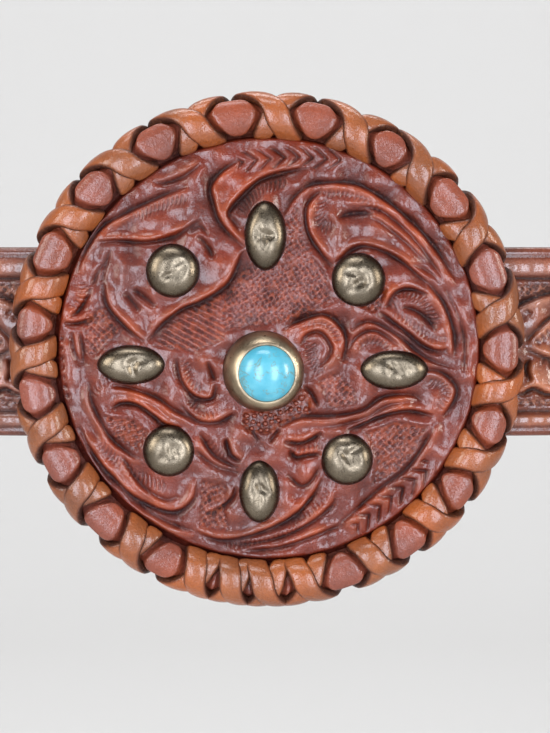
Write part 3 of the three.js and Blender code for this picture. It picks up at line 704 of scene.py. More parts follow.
def press_ribs(right, up, ribs, fine):
    for reach, pitch, depth, bow, places in ribs.values():
        near, along, left, length = beside_line(right, up, spline(places), abs(reach) + 0.6)
        deep = left * np.sign(reach)
        window = smooth_step(deep, -0.15, 0.35) * (1.0 - smooth_step(deep, abs(reach) * 0.6, abs(reach)))
        window = window * smooth_step(np.minimum(along, length - along), 0.0, 0.6)
        wave = 0.5 - 0.5 * np.cos(2 * math.pi * (along + bow * deep**2) / pitch)
        fine[near] = np.maximum(fine[near], depth * window * wave**RIB_SHARPNESS)


def cut_chevrons(right, up, chevrons, cut):
    for reach, pitch, slant, depth, places in chevrons.values():
        near, along, left, length = beside_line(right, up, spline(places), reach + 0.6)
        away = np.abs(left)
        window = 1.0 - smooth_step(away, reach * 0.8, reach)
        window = window * smooth_step(np.minimum(along, length - along), 0.0, 0.8)
        phase = (along + slant * away) / pitch % 1.0
        stroke = np.exp(-(((phase - 0.5) * pitch / STROKE_WIDTH) ** 2))
        cut[near] = np.maximum(cut[near], depth * window * stroke * (1.0 - 0.45 * away / reach))


def hand_swell(right, up):
    """The slight unevenness of leather that was worked by hand."""
    rng = np.random.default_rng(5)
    turns = rng.uniform(0, math.pi, SWELL_WAVES)
    lengths = rng.uniform(3.0, 8.0, SWELL_WAVES)
    phases = rng.uniform(0, 2 * math.pi, SWELL_WAVES)
    swell = np.zeros_like(right)
    for turn, length, phase in zip(turns, lengths, phases):
        run = right * math.cos(turn) + up * math.sin(turn)
        swell += SWELL_HEIGHT * length * np.sin(2 * math.pi * run / length + phase)
    return swell


def carving(right, up, cuts, ribs, chevrons, grounds):
    """A carved relief in millimetres, its tone, and where its ground is stamped, at places on it."""
    shape = right.shape
    right, up = right.ravel(), up.ravel()
    ground, fine, wall = stamp_grounds(right, up, grounds)
    cut, ridge = carve_cuts(right, up, cuts)
    press_ribs(right, up, ribs, fine)
    cut_chevrons(right, up, chevrons, cut)
    swell = hand_swell(right, up)
    grounded = np.clip(ground * 2.0, 0.0, 1.0)
    relief = ridge * (1.0 - grounded) - np.maximum(cut, ground * 0.8) - fine * 0.8
    relief = relief + swell * (1.0 - grounded)
    # Tone: darker in the cuts, ribs and grounds, where antique stain lies; lighter on the lips beside the
    # cuts, partly antique wiped off and partly painted sheen; and a painted highlight on the swell's rises
    # and the stamp walls
    tone = PLAIN_TONE + 0.9 * ridge - 0.62 * cut - 0.6 * fine - 0.22 * ground + 0.35 * swell
    tone = np.clip(tone + 0.32 * wall * (1.0 - np.clip(2.0 * cut, 0.0, 1.0)), 0.0, 1.0)
    return relief.reshape(shape), tone.reshape(shape), grounded.reshape(shape)


# Concho face
def face_height(radius):
    share = np.minimum(np.asarray(radius) / FACE_RADIUS, 1.0)
    return FACE_EDGE_HEIGHT + DOME_RISE * (1.0 - share**DOME_POWER)


def face_grid(count):
    line = np.linspace(-1.0, 1.0, count)
    across, along = np.meshgrid(line, line)
    wide = np.abs(across) >= np.abs(along)
    turn = math.pi / 4 * np.where(wide, along / across, across / along)
    right = np.where(wide, across * np.cos(turn), along * np.sin(turn))
    up = np.where(wide, across * np.sin(turn), along * np.cos(turn))
    return right, up


FACE_COUNT = 290
FACE_LAP = 0.25
BEAD_SIDES = 12
BEAD_LEVELS = 8
BEAD_SINK = 0.55


def bead_parts(start):
    """The beads' points, faces and tones; their first point has the number start."""
    points, faces, tones = [], [], []
    turns = full_turn(BEAD_SIDES)
    levels = np.radians(np.linspace(-80, 80, BEAD_LEVELS))
    for right, up, radius in BEADS:
        middle = float(face_height(math.hypot(right, up))) - BEAD_SINK
        profile = [(radius * math.cos(level), middle + radius * math.sin(level)) for level in levels]
        faces += ring_faces(BEAD_LEVELS, BEAD_SIDES, start + len(points) * BEAD_SIDES)
        points += turned_rings(profile, (right, up), turns)
        # Painted shade darkens each bead low down, where it sinks into the ground, with a painted highlight
        # on its crown
        tones += [np.full(BEAD_SIDES, 0.3 + 0.4 * max(0.0, math.sin(level))) for level in levels]
    return points, faces, tones


def build_disc():
    unit_right, unit_up = face_grid(FACE_COUNT)
    reach = FACE_RADIUS + FACE_LAP
    right, up = unit_right * reach, unit_up * reach
    radius = np.hypot(right, up)
    relief, tone, ground = carving(right, up, CUTS, RIBS, CHEVRONS, GROUNDS)
    edge = smooth_step(radius, reach - 0.6, reach)
    out = face_height(radius) + relief * (1.0 - edge) - 0.5 * edge**2
    points = [concho_points(right, up, out).reshape(-1, 3)]
    # Painted shade darkens the face's last rim, where it meets the binding
    tones = [(tone * (1.0 - edge) + 0.4 * edge).ravel()]
    faces = grid_faces(FACE_COUNT, FACE_COUNT)
    total = FACE_COUNT**2
    index = np.arange(total).reshape(FACE_COUNT, FACE_COUNT)
    border = np.concatenate([index[0, :-1], index[:-1, -1], index[-1, :0:-1], index[:0:-1, 0]])
    round_right = unit_right.ravel()[border]
    round_up = unit_up.ravel()[border]
    # The face's side, tongue and back, under the binding, take painted shade
    profile = [
        (FACE_RADIUS + 0.3, 5.8),
        (FACE_RADIUS, 5.2),
        (TONGUE_RADIUS - 0.2, TONGUE_HIGH),
        (TONGUE_RADIUS, 4.2),
        (TONGUE_RADIUS - 0.2, TONGUE_LOW),
        (FACE_RADIUS, TONGUE_LOW - 0.1),
        (FACE_RADIUS - 0.2, 0.4),
        (FACE_RADIUS - 0.8, 0.0),
    ]
    previous = border
    for ring_radius, ring_out in profile:
        points.append(concho_points(round_right * ring_radius, round_up * ring_radius, ring_out))
        tones.append(np.full(len(border), 0.2))
        ring = np.arange(total, total + len(border))
        total += len(border)
        after, previous_after = np.roll(ring, -1), np.roll(previous, -1)
        faces += np.stack([previous, previous_after, after, ring], -1).tolist()
        previous = ring
    faces.append(previous.tolist())
    bead_points, bead_faces, bead_tones = bead_parts(total)
    points = np.concatenate(points + bead_points)
    grounds = np.zeros(len(points))
    grounds[: FACE_COUNT**2] = (ground * (1.0 - edge)).ravel()
    looks = {"tone": np.concatenate(tones + bead_tones), "ground": grounds}
    add_piece("concho_leather", points, faces + bead_faces, "concho_disc", "carved_leather", looks)


# Strap
SIDE_SWEEP = math.pi - BACK_HALF_ANGLE
BACK_RADIUS = SIDE_RADIUS + HALF_FLAT / math.sin(BACK_HALF_ANGLE)
BACK_CENTRE = -HALF_FLAT / math.tan(BACK_HALF_ANGLE)
SIDE_END = HALF_FLAT + SIDE_RADIUS * SIDE_SWEEP
HALF_LOOP = SIDE_END + BACK_RADIUS * BACK_HALF_ANGLE
STRAP_END = HALF_LOOP + OVERLAP_LENGTH / 2


def waist_line(distance):
    """The waist's outline at distances from the front's middle: x, y and the outward direction."""
    along = np.abs(distance)
    side = np.where(distance < 0, -1.0, 1.0)
    on_side = along <= SIDE_END
    side_angle = -math.pi / 2 + (along - HALF_FLAT) / SIDE_RADIUS
    back_angle = math.pi / 2 - BACK_HALF_ANGLE + (along - SIDE_END) / BACK_RADIUS
    angle = np.where(on_side, side_angle, back_angle)
    radius = np.where(on_side, SIDE_RADIUS, BACK_RADIUS)
    x = side * (np.where(on_side, HALF_FLAT, 0.0) + radius * np.cos(angle))
    y = np.where(on_side, 0.0, BACK_CENTRE) + radius * np.sin(angle)
    out_x = side * np.cos(angle)
    out_y = np.sin(angle)
    flat = along <= HALF_FLAT
    return (
        np.where(flat, distance, x),
        np.where(flat, -SIDE_RADIUS, y),
        np.where(flat, 0.0, out_x),
        np.where(flat, -1.0, out_y),
    )


# The concho hides the strap's middle, and the photo shows it closely up to its edges
HIDDEN_END = 45.0
SHOWN_END = 62.0
TIP_REACH = 16.0

# The strap's section is charted at this half width, then stretched to the real one
CHART_HALF = 19.0
FACE_HALF = 17.9
FACE_COLUMNS = 84
EDGE_ROUND = 1.2


def strap_stations():
    hidden = np.arange(0.0, HIDDEN_END, 2.0)
    shown = np.arange(HIDDEN_END, SHOWN_END, 0.3)
    rest = np.arange(SHOWN_END, STRAP_END - TIP_REACH, 1.05)
    tip = STRAP_END - TIP_REACH * np.cos(np.linspace(0.0, math.pi / 2, 40))
    right = np.unique(np.concatenate([hidden, shown, rest, tip]).round(6))
    return np.concatenate([-right[:0:-1], right])


def strap_section():
    """The strap's closed section: up as a share of its half width, and out, from face to back."""
    front = np.linspace(-FACE_HALF, FACE_HALF, FACE_COLUMNS)
    turn = np.radians([18, 45, 72])
    top = np.stack([17.8 + EDGE_ROUND * np.sin(turn), 0.6 + EDGE_ROUND * np.cos(turn)], -1)
    bottom = top[::-1] * [-1, 1]
    face = np.stack([front, np.full_like(front, STRAP_HALF_THICKNESS)], -1)
    back_up = np.array([CHART_HALF, 18.4, 0.0, -18.4, -CHART_HALF])
    back_out = np.array([-1.2, -1.8, -1.8, -1.8, -1.2])
    section = np.concatenate([bottom, face, top, np.stack([back_up, back_out], -1)])
    return section[:, 0] / CHART_HALF, section[:, 1]


# One repeat of the strap's vine: along the strap from the repeat's start, and up, in millimetres
VINE_START = 44.0
VINE_LENGTH = 40.0
VINE_CUTS = {
    "stem": (1, 1.3, 1.0, [(0, 3), (6.2, 7), (13.2, 9.6), (20, 9.2), (27, 5.6), (34, 2.8), (40, 3)]),
    "leaf_back": (1, 1.2, 0.9, [(8.2, -0.2), (11, 2.8), (14, 5), (19, 6), (24, 4.2), (28, 1)]),
    "leaf_front": (-1, 1.4, 1.05, [(8.2, -1.4), (13.2, -3.4), (20, -4.4), (26, -2.4), (30, 0.4)]),
    "petal_back": (-1, 0.9, 0.9, [(9.2, -3.4), (8.5, -5.6), (9.3, -8)]),
    "petal_front": (1, 1.2, 0.8, [(0, -5.4), (3.4, -3), (5.6, -5), (5.4, -8)]),
    "low_stem": (-1, 1.2, 0.95, [
        (0, -9), (4, -10.2), (7.5, -10.4), (10, -9.4), (13.2, -10.6), (20, -10), (28, -8), (34, -8),
        (40, -9),
    ]),
    "spiral": (1, 1.1, 0.9, [(20.6, -8.8), (25, -5), (31, -3.4), (36, -4.8), (36.6, -7)]),
    "upper_leaf": (-1, 1.1, 0.9, [(28, 8), (31.6, 6), (35.6, 5.8), (39.4, 8)]),
}
VINE_RIBS = {
    "leaf": (-2.4, 1.5, 0.5, 0.2, [(9.6, 0), (13, 3), (18.6, 4.8), (23.6, 3.4)]),
    "stem": (2.0, 1.5, 0.45, 0.2, [(5.6, 1.6), (8.6, 4.8), (10.4, 5.8)]),
    "petal": (1.8, 1.5, 0.4, 0.2, [(11, -4.6), (15, -6), (20, -6.6)]),
    "spiral": (-1.8, 1.5, 0.45, 0.2, [(23, -6.8), (27, -4.8), (33, -4.6)]),
}
VINE_GROUNDS = {
    "upper": ("mesh", 1.35, 45, 0.5, [
        (1, 11.6), (2.4, 6), (6.2, 8), (13.2, 10.6), (20, 10.4), (27, 7.6), (28, 9), (34, 7.4),
        (39, 9.4), (39, 11.6),
    ]),
    "lower": ("mesh", 1.35, 45, 0.5, [
        (1, -13), (1, -10.4), (7.4, -11.4), (13.2, -11.6), (20, -11), (28, -9.2), (39, -9.8), (39, -13),
    ]),
    "middle": ("mesh", 1.35, 45, 0.5, [(28.6, 0.8), (33, 1.6), (38, 1.6), (38, -2.6), (31, -2), (28, -1.4)]),
}


# Plain grooves along the strap. Columns: up, width, depth.
GROOVES = [
    (12.7, 0.5, 0.75),
    (-14.1, 0.5, 0.75),
    (16.9, 0.35, 0.25),
    (-17.2, 0.35, 0.25),
]

# The rounded borders between the grooves: their middles, half width and rise
BORDERS = (14.8, -15.7)
BORDER_HALF = 2.0
BORDER_RISE = 0.4
BORDER_UNEVEN = 0.05

# The tooled band between the borders, and the strap's plain end
BAND_HALF = 13.4
BAND_DROP = 0.7
PLAIN_END = 26.0
STRAP_TONE = 0.56
BACK_TONE = 0.4


def strap_relief(distance, up):
    """The strap's relief in millimetres, its tone and where its ground is stamped."""
    distance, up = np.broadcast_arrays(distance, up)
    along = (np.abs(distance) - VINE_START) % VINE_LENGTH
    relief, tone, ground = carving(along, up, VINE_CUTS, VINE_RIBS, {}, VINE_GROUNDS)
    band = smooth_step(BAND_HALF - np.abs(up + BAND_DROP), 0.0, 0.6)
    band = np.where(np.abs(distance) > STRAP_END - PLAIN_END, 0.0, band)
    relief = relief * band
    tone = STRAP_TONE + (tone - STRAP_TONE) * band
    for groove, width, cut in GROOVES:
        near = np.exp(-(((up - groove) / width) ** 2))
        relief = np.minimum(relief, relief * (1 - near) - cut * near)
        tone = tone - 0.7 * cut * near
    uneven = BORDER_UNEVEN * np.sin(0.9 * distance) + BORDER_UNEVEN * np.sin(2.3 * distance)
    for middle in BORDERS:
        bulge = np.clip(1.0 - ((up - middle) / BORDER_HALF) ** 2, 0.0, 1.0)
        relief = relief + bulge * (BORDER_RISE + uneven)
        # Painted highlight: the rounded borders are lightened
        tone = tone + 0.16 * bulge
    tone = tone - 0.14 * (np.abs(up) > 17.0)
    return relief, np.clip(tone, 0.0, 1.0), ground * band


def build_strap():
    distance = strap_stations()[:, None]
    share, out = strap_section()
    left = STRAP_END - np.abs(distance)
    taper = np.clip(1.0 - left / TIP_LENGTH, 0.0, 1.0)
    tip_half = TIP_FLAT + (STRAP_HALF_WIDTH - TIP_FLAT) * np.sqrt(np.clip(1.0 - taper**2, 0.0, 1.0))
    half = np.where(left < TIP_LENGTH, tip_half, STRAP_HALF_WIDTH)
    flush = HALF_LOOP - OVERLAP_LENGTH / 2
    lift = smooth_step(distance, flush - OVERLAP_RISE, flush) * (2 * STRAP_HALF_THICKNESS + GAP)
    relief, tone, ground = strap_relief(distance, share[None, :] * CHART_HALF)
    on_face = (np.abs(share) < (FACE_HALF + 0.05) / CHART_HALF) & (out > STRAP_HALF_THICKNESS - 0.05)
    on_face = on_face[None, :]
    x, y, out_x, out_y = waist_line(distance)
    raised = lift + out[None, :] + np.where(on_face, relief, 0.0)
    up = np.broadcast_to(share[None, :] * half, raised.shape)
    points = np.stack([x + out_x * raised, y + out_y * raised, up], -1) * MM
    looks = {"tone": np.where(on_face, tone, BACK_TONE), "ground": np.where(on_face, ground, 0.0)}
    add_piece("strap_leather", points, ring_faces(*points.shape[:2]), "strap", "belt_leather", looks)


# Rim
def signed_power(value):
    return np.sign(value) * np.abs(value) ** (2.0 / RIM_POWER)


def rim_point(turn, away):
    t = np.radians(turn)
    radius = RIM_CENTRE + (RIM_REACH + away) * signed_power(np.cos(t))
    spread = RIM_INNER + (radius - RIM_INNER) * RIM_SPREAD
    return spread, RIM_MIDDLE + (RIM_HALF + away) * signed_power(np.sin(t))


def rim_points(angle, radius, out):
    """Points on the rim, at angles clockwise from the top, about the laced rim's own centre."""
    right = RIM_SHIFT[0] + radius * np.sin(angle)
    up = RIM_SHIFT[1] + radius * np.cos(angle)
    return concho_points(right, up, out)


def path_length(turns):
    radius, out = rim_point(turns, 0.0)
    steps = np.hypot(np.diff(radius), np.diff(out))
    return np.concatenate([[0.0], np.cumsum(steps)])


FRONT_LENGTH = path_length(np.linspace(FOOT_TURN, 14.0, 60))[-1]


def lace_half_angle(turn, lean):
    sideways = math.radians(lean) * RIM_CENTRE / FRONT_LENGTH
    half = LACE_WIDTH / 2 * math.hypot(1.0, sideways)
    return np.degrees(half / rim_point(turn, 0.0)[0])


def lean_share(turn):
    """The share of a crossing's lean that a lace has reached on its way over the rim."""
    share = np.clip((FOOT_TURN - turn) / FOOT_TURN, 0.0, 1.0)
    return LEAN_SPREAD * share**LEAN_POWER


# Half of a lace's section, from its middle to its back. Columns: side and level, as shares.
LACE_HALF = [
    (0.0, 1.08),
    (0.4, 1.06),
    (0.7, 1.03),
    (0.86, 0.97),
    (0.96, 0.75),
    (1.0, 0.4),
    (1.0, -0.35),
    (0.96, -1.0),
]
LACE_SECTION = [(-side, level) for side, level in LACE_HALF[:0:-1]] + LACE_HALF
LACE_CROWN = 0.22
FOOT_LENGTH = 1.5
FOOT_SINK = 0.7


def lace_points(foot, lean, back_foot, lift, turns):
    """One lace: a row of closed sections, from its foot at the face to its back foot."""
    back = np.clip(-turns / FOOT_TURN, 0.0, None)
    middle = foot + lean * lean_share(turns)
    middle = middle + (back_foot - foot - lean * LEAN_SPREAD) * back
    travelled = path_length(turns)
    from_foot = np.clip(travelled / FOOT_LENGTH, 0.0, 1.0)
    rounding = (1.0 - (1.0 - from_foot) ** 2.6) ** 0.45
    slim = 1.0 if lift > 0 else 0.62 + 0.38 * np.clip(travelled / 4.5, 0.0, 1.0)
    half = lace_half_angle(turns, lean) * np.maximum(rounding, 0.05) * slim
    raised = lift * np.exp(-(((turns - CROSSING_TURN) / CROSSING_SPREAD) ** 2))
    sunk = FOOT_SINK * (1.0 - from_foot) ** 2
    rows = []
    tones = []
    for side, level in LACE_SECTION:
        crown = LACE_CROWN * rounding * (1.0 - side**2) if level > 0 else 0.0
        radius, out = rim_point(turns, raised - sunk + level * LACE_THICKNESS / 2 + crown)
        rows.append(rim_points(np.radians(middle + half * side), radius, out))
        # Each lace is darker along its sides, and painted shade darkens it towards its foot, where it sinks
        # into its hole
        edge = smooth_step(abs(side), 0.72, 1.0)
        tones.append(0.6 - 0.55 * edge - 0.45 * (1.0 - from_foot) ** 2)
    return np.stack(rows, 1), np.stack(tones, 1)


def crossing_after(i):
    over, over_lean, under, under_lean = CROSSINGS[(i + 1) % len(CROSSINGS)]
    round_again = 360.0 if i + 1 == len(CROSSINGS) else 0.0
    return over + round_again, over_lean, under + round_again, under_lean


def build_laces():
    points, faces, tones = [], [], []
    turns = np.concatenate([np.linspace(174.0, 10.0, 42), np.linspace(2.0, -FOOT_TURN, 22)])
    count = len(LACE_SECTION)
    for i, (over, over_lean, under, under_lean) in enumerate(CROSSINGS):
        next_over, next_over_lean, _, _ = crossing_after(i)
        back_foot = (under + under_lean + next_over + next_over_lean) / 2
        laces = [(under, under_lean, UNDER_LIFT), (next_over, next_over_lean, CROSSING_LIFT)]
        for foot, lean, lift in laces:
            rows, tone = lace_points(foot, lean, back_foot, lift, turns)
            faces += ring_faces(len(turns), count, start=len(points) * len(turns) * count)
            points.append(rows.reshape(-1, 3))
            tones.append(tone.ravel())
    looks = {"tone": np.concatenate(tones)}
    add_piece("edge_laces", np.concatenate(points), faces, "edge_lacing", "lace_leather", looks)


# How sharp a pad's corners and its ends are, and where in the turn over the rim it ends
CORNER_SHARPNESS = 1.1
END_SHARPNESS = 2.2
PAD_TURNS = (28.0, 161.0)
PAD_END_SLOPE = 13.0
SLOT_RADIUS = 42.8
SLOT_HALF = 1.2


def soft_least(first, second, sharpness):
    """The lesser of two values, with a rounded corner where they meet."""
    return -np.logaddexp(-sharpness * first, -sharpness * second) / sharpness


def pad_room(turn, angle):
    """How far each place on the rim's front is from the nearest lace or end, in millimetres."""
    share = lean_share(turn)
    radius = rim_point(turn, 0.0)[0]
    best = np.full(np.broadcast_shapes(turn.shape, angle.shape), -9.0)
    for i, (over, over_lean, under, under_lean) in enumerate(CROSSINGS):
        next_over, next_over_lean, next_under, next_under_lean = crossing_after(i)
        over_half = lace_half_angle(turn, over_lean)
        under_half = lace_half_angle(turn, under_lean)
        over_start = over + over_lean * share + over_half
        under_start = under + under_lean * share + under_half
        start = -soft_least(-over_start, -under_start, CORNER_SHARPNESS)
        over_end = next_over + next_over_lean * share - over_half
        under_end = next_under + next_under_lean * share - under_half
        end = soft_least(over_end, under_end, CORNER_SHARPNESS)
        for round_again in (-360.0, 0.0):
            room = np.minimum(angle - start - round_again, end + round_again - angle)
            best = np.maximum(best, np.radians(room) * radius)
    return best


def build_binding():
    front = np.linspace(176.0, -6.0, 48)
    back = np.linspace(-14.0, -160.0, 12)
    turn = np.concatenate([front, back])[:, None]
    angle = np.arange(0.0, 360.0, 0.5)[None, :]
    ends = np.minimum(PAD_TURNS[1] - turn, turn - PAD_TURNS[0]) / PAD_END_SLOPE
    inside = soft_least(pad_room(turn, angle), ends, END_SHARPNESS)
    puff = smooth_step(inside, -0.1, 1.3)
    radius, out = rim_point(turn, BINDING_AWAY + PAD_RISE * puff)
    turned = np.radians(angle)
    rings = [rim_points(turned, radius, out)]
    # Painted shade darkens the binding in the valleys round its pads, beside the laces; its back is lighter
    tones = [0.38 + 0.22 * smooth_step(inside, 0.1, 1.0) + 0.2 * (turn <= -20.0)]
    # The slot's rings take painted shade
    slot = [
        (SLOT_RADIUS, -SLOT_HALF - 0.05),
        (TONGUE_RADIUS + GAP, -SLOT_HALF),
        (TONGUE_RADIUS + GAP, SLOT_HALF),
        (SLOT_RADIUS, SLOT_HALF + 0.05),
    ]
    for ring_radius, rise in slot:
        rings.append(rim_points(turned, ring_radius, RIM_MIDDLE + rise))
        tones.append(np.full((1, angle.size), 0.2))
    points = np.concatenate(rings)
    faces = grid_faces(*points.shape[:2], wrap_rows=True, wrap_columns=True)
    looks = {"tone": np.concatenate(tones)}
    add_piece("rim_leather", points, faces, "rim_binding", "binding_leather", looks)


# Studs, bezel and stone
STUD_HEIGHT = 3.3
STUD_SIDES = 56
STUD_RIM = 0.62
STUD_WAIST = 0.985
OVAL_POINT = 1.1
DENT_COUNT = 4
RIVET_TONE = 0.7
CUP_SIDES = 96


def rivet_parts(centre, base, start):
    """A shank from under the cap to a low head at the strap's inner face."""
    angles = full_turn(24)
    profile = [
        (1.4, base),
        (1.4, -2.6),
        (3.2, -2.9),
        (3.2, -3.6),
        (2.6, -4.05),
        (1.2, -4.3),
        (0.3, -4.35),
    ]
    rings = turned_rings(profile, centre, angles)
    return np.concatenate(rings), ring_faces(len(profile), len(angles), start)


def stud_outline(half_right, half_up):
    """A stud's outline round its middle; an oval one comes to a point at both ends."""
    cosine = np.cos(full_turn(STUD_SIDES))
    sine = np.sin(full_turn(STUD_SIDES))
    if half_right > half_up:
        sine = np.sign(sine) * np.abs(sine) ** OVAL_POINT
    elif half_up > half_right:
        cosine = np.sign(cosine) * np.abs(cosine) ** OVAL_POINT
    return half_right * cosine, half_up * sine


def draw_dents(rng):
    """Dents in a stud's dome. Columns: turn, reach as a share, size, depth."""
    dents = []
    for _ in range(DENT_COUNT):
        turn = rng.uniform(0, 2 * math.pi)
        reach = rng.uniform(0.05, 0.42)
        size = rng.uniform(0.9, 1.6)
        dents.append((turn, reach, size, rng.uniform(0.2, 0.45)))
    return dents


def build_studs():
    rng = np.random.default_rng(11)
    levels = [(0.97, 0.0), (1.0, 0.3), (STUD_WAIST, STUD_RIM)]
    for t in np.radians(np.linspace(12, 88, 15)):
        rise = STUD_RIM + (STUD_HEIGHT - STUD_RIM) * math.sin(t)
        levels.append((STUD_WAIST * math.cos(t) ** 0.85, rise))
    for node, right, up, half_right, half_up, through in STUDS:
        base = float(face_height(math.hypot(right, up))) - STUD_SINK
        outline_right, outline_up = stud_outline(half_right, half_up)
        dents = draw_dents(rng)
        points = []
        tones = []
        for share, out in levels:
            x = share * outline_right
            y = share * outline_up
            sunk = np.zeros_like(x)
            for turn, reach, size, depth in dents:
                off_x = x - reach * half_right * math.cos(turn)
                off_y = y - reach * half_up * math.sin(turn)
                across = off_x * math.cos(2 * turn) + off_y * math.sin(2 * turn)
                along = off_y * math.cos(2 * turn) - off_x * math.sin(2 * turn)
                sunk += depth * np.exp(-((across / (0.6 * size)) ** 2) - (along / (1.5 * size)) ** 2)
            weight = smooth_step(out, 0.6, 1.6)
            points.append(concho_points(right + x, up + y, base + out - sunk * weight))
            # Patina and a painted dark reflection darken each stud low on its dome
            tones.append(np.full(STUD_SIDES, smooth_step(out, 0.5, 2.9)))
        body = np.concatenate(points)
        faces = ring_faces(len(levels), STUD_SIDES)
        if through:
            more, more_faces = rivet_parts((right, up), base + GAP, len(body))
            body = np.concatenate([body, more])
            faces += more_faces
            tones.append(np.full(len(more), RIVET_TONE))
        add_piece(node + "_metal", body, faces, node, "stud_metal", {"tone": np.concatenate(tones)})


def build_bezel():
    base = float(face_height(math.hypot(*SETTING))) - STUD_SINK
    angles = full_turn(CUP_SIDES)
    profile = [
        (7.6, 0.0),
        (8.0, 0.25),
        (8.05, 0.8),
        (7.85, 1.7),
        (7.45, 2.6),
        (6.95, 3.3),
        (6.3, 3.85),
        (5.85, 4.08),
        (5.55, 4.02),
        (5.4, 3.75),
        (5.55, 3.4),
        (6.2, 3.0),
        (6.2, 1.0),
        (0.4, 1.0),
    ]
    points = []
    for radius, out in profile:
        share = min(out / 3.6, 1.0) if radius < 8.0 else 0.1
        centre = (SETTING[0] + STONE_OFFSET[0] * share, SETTING[1] + STONE_OFFSET[1] * share)
        points += turned_rings([(radius, base + out)], centre, angles)
    body = np.concatenate(points)
    faces = ring_faces(len(profile), CUP_SIDES)
    more, more_faces = rivet_parts(SETTING, base + GAP, len(body))
    # Patina and a painted dark reflection darken the cup low down
    tone = smooth_step(np.repeat([out for _, out in profile], CUP_SIDES), 0.3, 2.0)
    looks = {"tone": np.concatenate([tone, np.full(len(more), RIVET_TONE)])}
    body = np.concatenate([body, more])
    add_piece("bezel_metal_cup", body, faces + more_faces, "bezel_cup", "bezel_metal", looks)


def build_stone():
    base = float(face_height(math.hypot(*SETTING))) - STUD_SINK + 1.3
    profile = [(STONE_RADIUS - 0.5, base), (STONE_RADIUS - 0.05, base + 0.3), (STONE_RADIUS, base + 1.6)]
    for t in np.radians(np.linspace(8, 88, 14)):
        profile.append((STONE_RADIUS * math.cos(t), base + 1.9 + 3.2 * math.sin(t)))
    centre = (SETTING[0] + STONE_OFFSET[0], SETTING[1] + STONE_OFFSET[1])
    points = np.concatenate(turned_rings(profile, centre, full_turn(CUP_SIDES)))
    faces = ring_faces(len(profile), CUP_SIDES)
    add_piece("stone_cabochon", points, faces, "blue_stone", "turquoise")


# Closure at the back
BAR_HALF_WIDTH = 4.5
BAR_END = 10.0
POST_PLACES = (-9.0, 9.0)
POST_RADIUS = 2.0
HEAD_RADIUS = 3.6


def build_clasp():
    outer_face = BACK_CENTRE + BACK_RADIUS + 3 * STRAP_HALF_THICKNESS + GAP
    head = BACK_CENTRE + BACK_RADIUS - STRAP_HALF_THICKNESS - GAP
    angles = full_turn(48)
    middle = np.where(np.sin(angles) >= 0, BAR_END, -BAR_END)
    bar = [(0.5, 0.0), (0.1, 0.15), (0.0, 0.5), (0.0, 1.1), (0.35, 1.45), (1.2, 1.6)]
    rings = []
    for inset, depth in bar:
        x = (BAR_HALF_WIDTH - inset) * np.cos(angles)
        z = middle + (BAR_HALF_WIDTH - inset) * np.sin(angles)
        rings.append(np.stack([x, np.full_like(x, outer_face + GAP + depth), z], -1))
    faces = ring_faces(len(bar), len(angles))
    turn = full_turn(28)
    post = [
        (POST_RADIUS, outer_face + GAP + 0.8),
        (POST_RADIUS, head - 0.05),
        (HEAD_RADIUS, head - 0.1),
        (HEAD_RADIUS, head - 0.7),
        (3.1, head - 1.1),
        (1.8, head - 1.2),
        (0.3, head - 1.2),
    ]
    total = len(bar) * len(angles)
    for up in POST_PLACES:
        faces += ring_faces(len(post), len(turn), total)
        total += len(post) * len(turn)
        for radius, depth in post:
            x = radius * np.cos(turn)
            rings.append(np.stack([x, np.full_like(x, depth), up + radius * np.sin(turn)], -1))
    looks = {"tone": np.full(total, 0.8)}
    add_piece("clasp_metal_bar", np.concatenate(rings) * MM, faces, "closure_clasp", "clasp_metal", looks)


build_strap()
build_disc()
build_binding()
build_laces()
build_studs()
build_bezel()
build_stone()
build_clasp()


# Floor, light and camera
def plain_material(name, colour):
    material, tree, shader = new_material(name)
    set_inputs(tree, shader, {"Base Color": colour, "Roughness": 0.9})
    return material


FLOOR_HEIGHT = -0.3
FLOOR_RADIUS = 1.2
FLOOR_BEND = 0.8
WALL_TOP = 3.0
BACKDROP_COLOUR = (0.56, 0.555, 0.55)


def build_backdrop():
    """A wide pale floor that curves up into a wall on every side."""
    turns = full_turn(96)
    profile = [(0.02, 0.0), (FLOOR_RADIUS, 0.0)]
    for t in np.radians(np.linspace(8, 90, 12)):
        rise = FLOOR_BEND * (1 - math.cos(t))
        profile.append((FLOOR_RADIUS + FLOOR_BEND * math.sin(t), rise))
    profile.append((FLOOR_RADIUS + FLOOR_BEND, WALL_TOP))
    points = []
    for radius, up in profile:
        height = np.full_like(turns, FLOOR_HEIGHT + up)
        points.append(np.stack([radius * np.cos(turns), radius * np.sin(turns), height], -1))
    mesh = bpy.data.meshes.new("backdrop")
    middle = list(range(len(turns)))[::-1]
    faces = grid_faces(len(profile), len(turns), wrap_columns=True) + [middle]
    mesh.from_pydata(np.concatenate(points).tolist(), [], faces)
    for polygon in mesh.polygons:
        polygon.use_smooth = True
    mesh.materials.append(plain_material("backdrop", BACKDROP_COLOUR))
    backdrop = bpy.data.objects.new("backdrop", mesh)
    bpy.context.scene.collection.objects.link(backdrop)


def add_light(name, place, aim, width, height, power, colour):
    lamp = bpy.data.lights.new(name, "AREA")
    lamp.shape = "RECTANGLE"
    lamp.size = width
    lamp.size_y = height
    lamp.energy = power
    lamp.color = colour
    light = bpy.data.objects.new(name, lamp)
    bpy.context.scene.collection.objects.link(light)
    light.location = place
    light.rotation_euler = (Vector(aim) - Vector(place)).to_track_quat("-Z", "Y").to_euler()


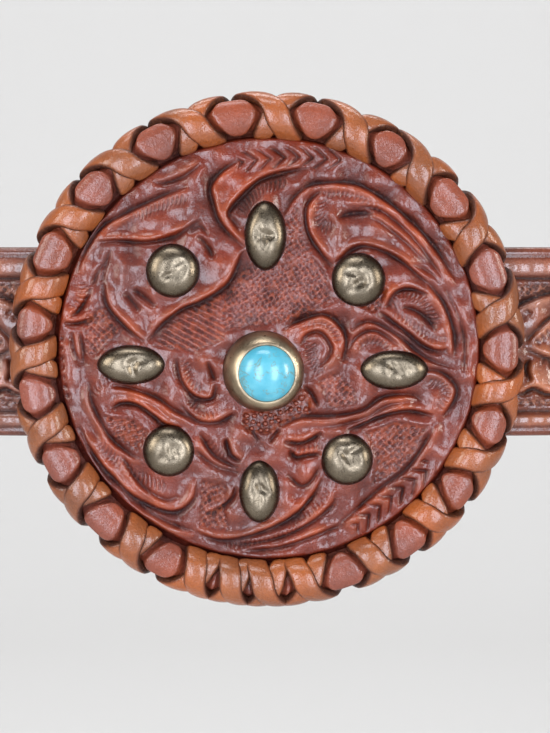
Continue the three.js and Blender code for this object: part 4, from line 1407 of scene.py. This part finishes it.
# Area lights. Columns: name, place, aim, width, height, power, colour.
CONCHO = (0.0, -0.12, 0.0)
LIGHTS = [
    ("left_softbox", (-0.8, -0.75, 0.3), CONCHO, 0.4, 0.6, 6.3, (1.0, 0.99, 0.95)),
    ("left_window", (-0.27, -0.94, -0.01), CONCHO, 0.24, 0.5, 4.8, (0.79, 0.87, 1.0)),
    ("right_window", (0.28, -0.94, -0.01), CONCHO, 0.24, 0.5, 5.2, (0.79, 0.87, 1.0)),
    ("right_softbox", (0.85, -0.65, 0.15), CONCHO, 0.2, 0.45, 5.2, (1.0, 0.98, 0.93)),
    ("top_softbox", (-0.15, -0.55, 0.95), CONCHO, 0.6, 0.3, 5.0, (0.92, 0.95, 1.0)),
    ("wall_light", (0.0, 0.4, 1.7), (0.0, 1.9, 0.0), 1.8, 0.6, 40.5, (1.0, 1.0, 1.0)),
]

# The camera: the width of the picture's longer side at the concho, in millimetres, and its place
IMAGE_SIDE = 146.6
SENSOR_WIDTH = 36.0
CAMERA_DISTANCE = 400.0
CAMERA_ELEVATION = math.radians(2.5)
CAMERA_AIM = (1.22, -121.0, -4.7)


def build_camera():
    lens = bpy.data.cameras.new("camera")
    lens.sensor_width = SENSOR_WIDTH
    lens.lens = SENSOR_WIDTH * CAMERA_DISTANCE / IMAGE_SIDE
    lens.clip_start = 0.01
    lens.clip_end = 20.0
    camera = bpy.data.objects.new("camera", lens)
    bpy.context.scene.collection.objects.link(camera)
    back = Vector((0.0, -math.cos(CAMERA_ELEVATION), math.sin(CAMERA_ELEVATION)))
    camera.location = (Vector(CAMERA_AIM) + back * CAMERA_DISTANCE) * MM
    camera.rotation_euler = (-back).to_track_quat("-Z", "Y").to_euler()
    bpy.context.scene.camera = camera


build_backdrop()
for light in LIGHTS:
    add_light(*light)
build_camera()

world = bpy.data.worlds.new("studio")
bpy.context.scene.world = world
world.use_nodes = True
background = world.node_tree.nodes["Background"]
background.inputs["Color"].default_value = (0.93, 0.95, 1.0, 1.0)
background.inputs["Strength"].default_value = 0.2
bpy.context.scene.view_settings.view_transform = "Standard"
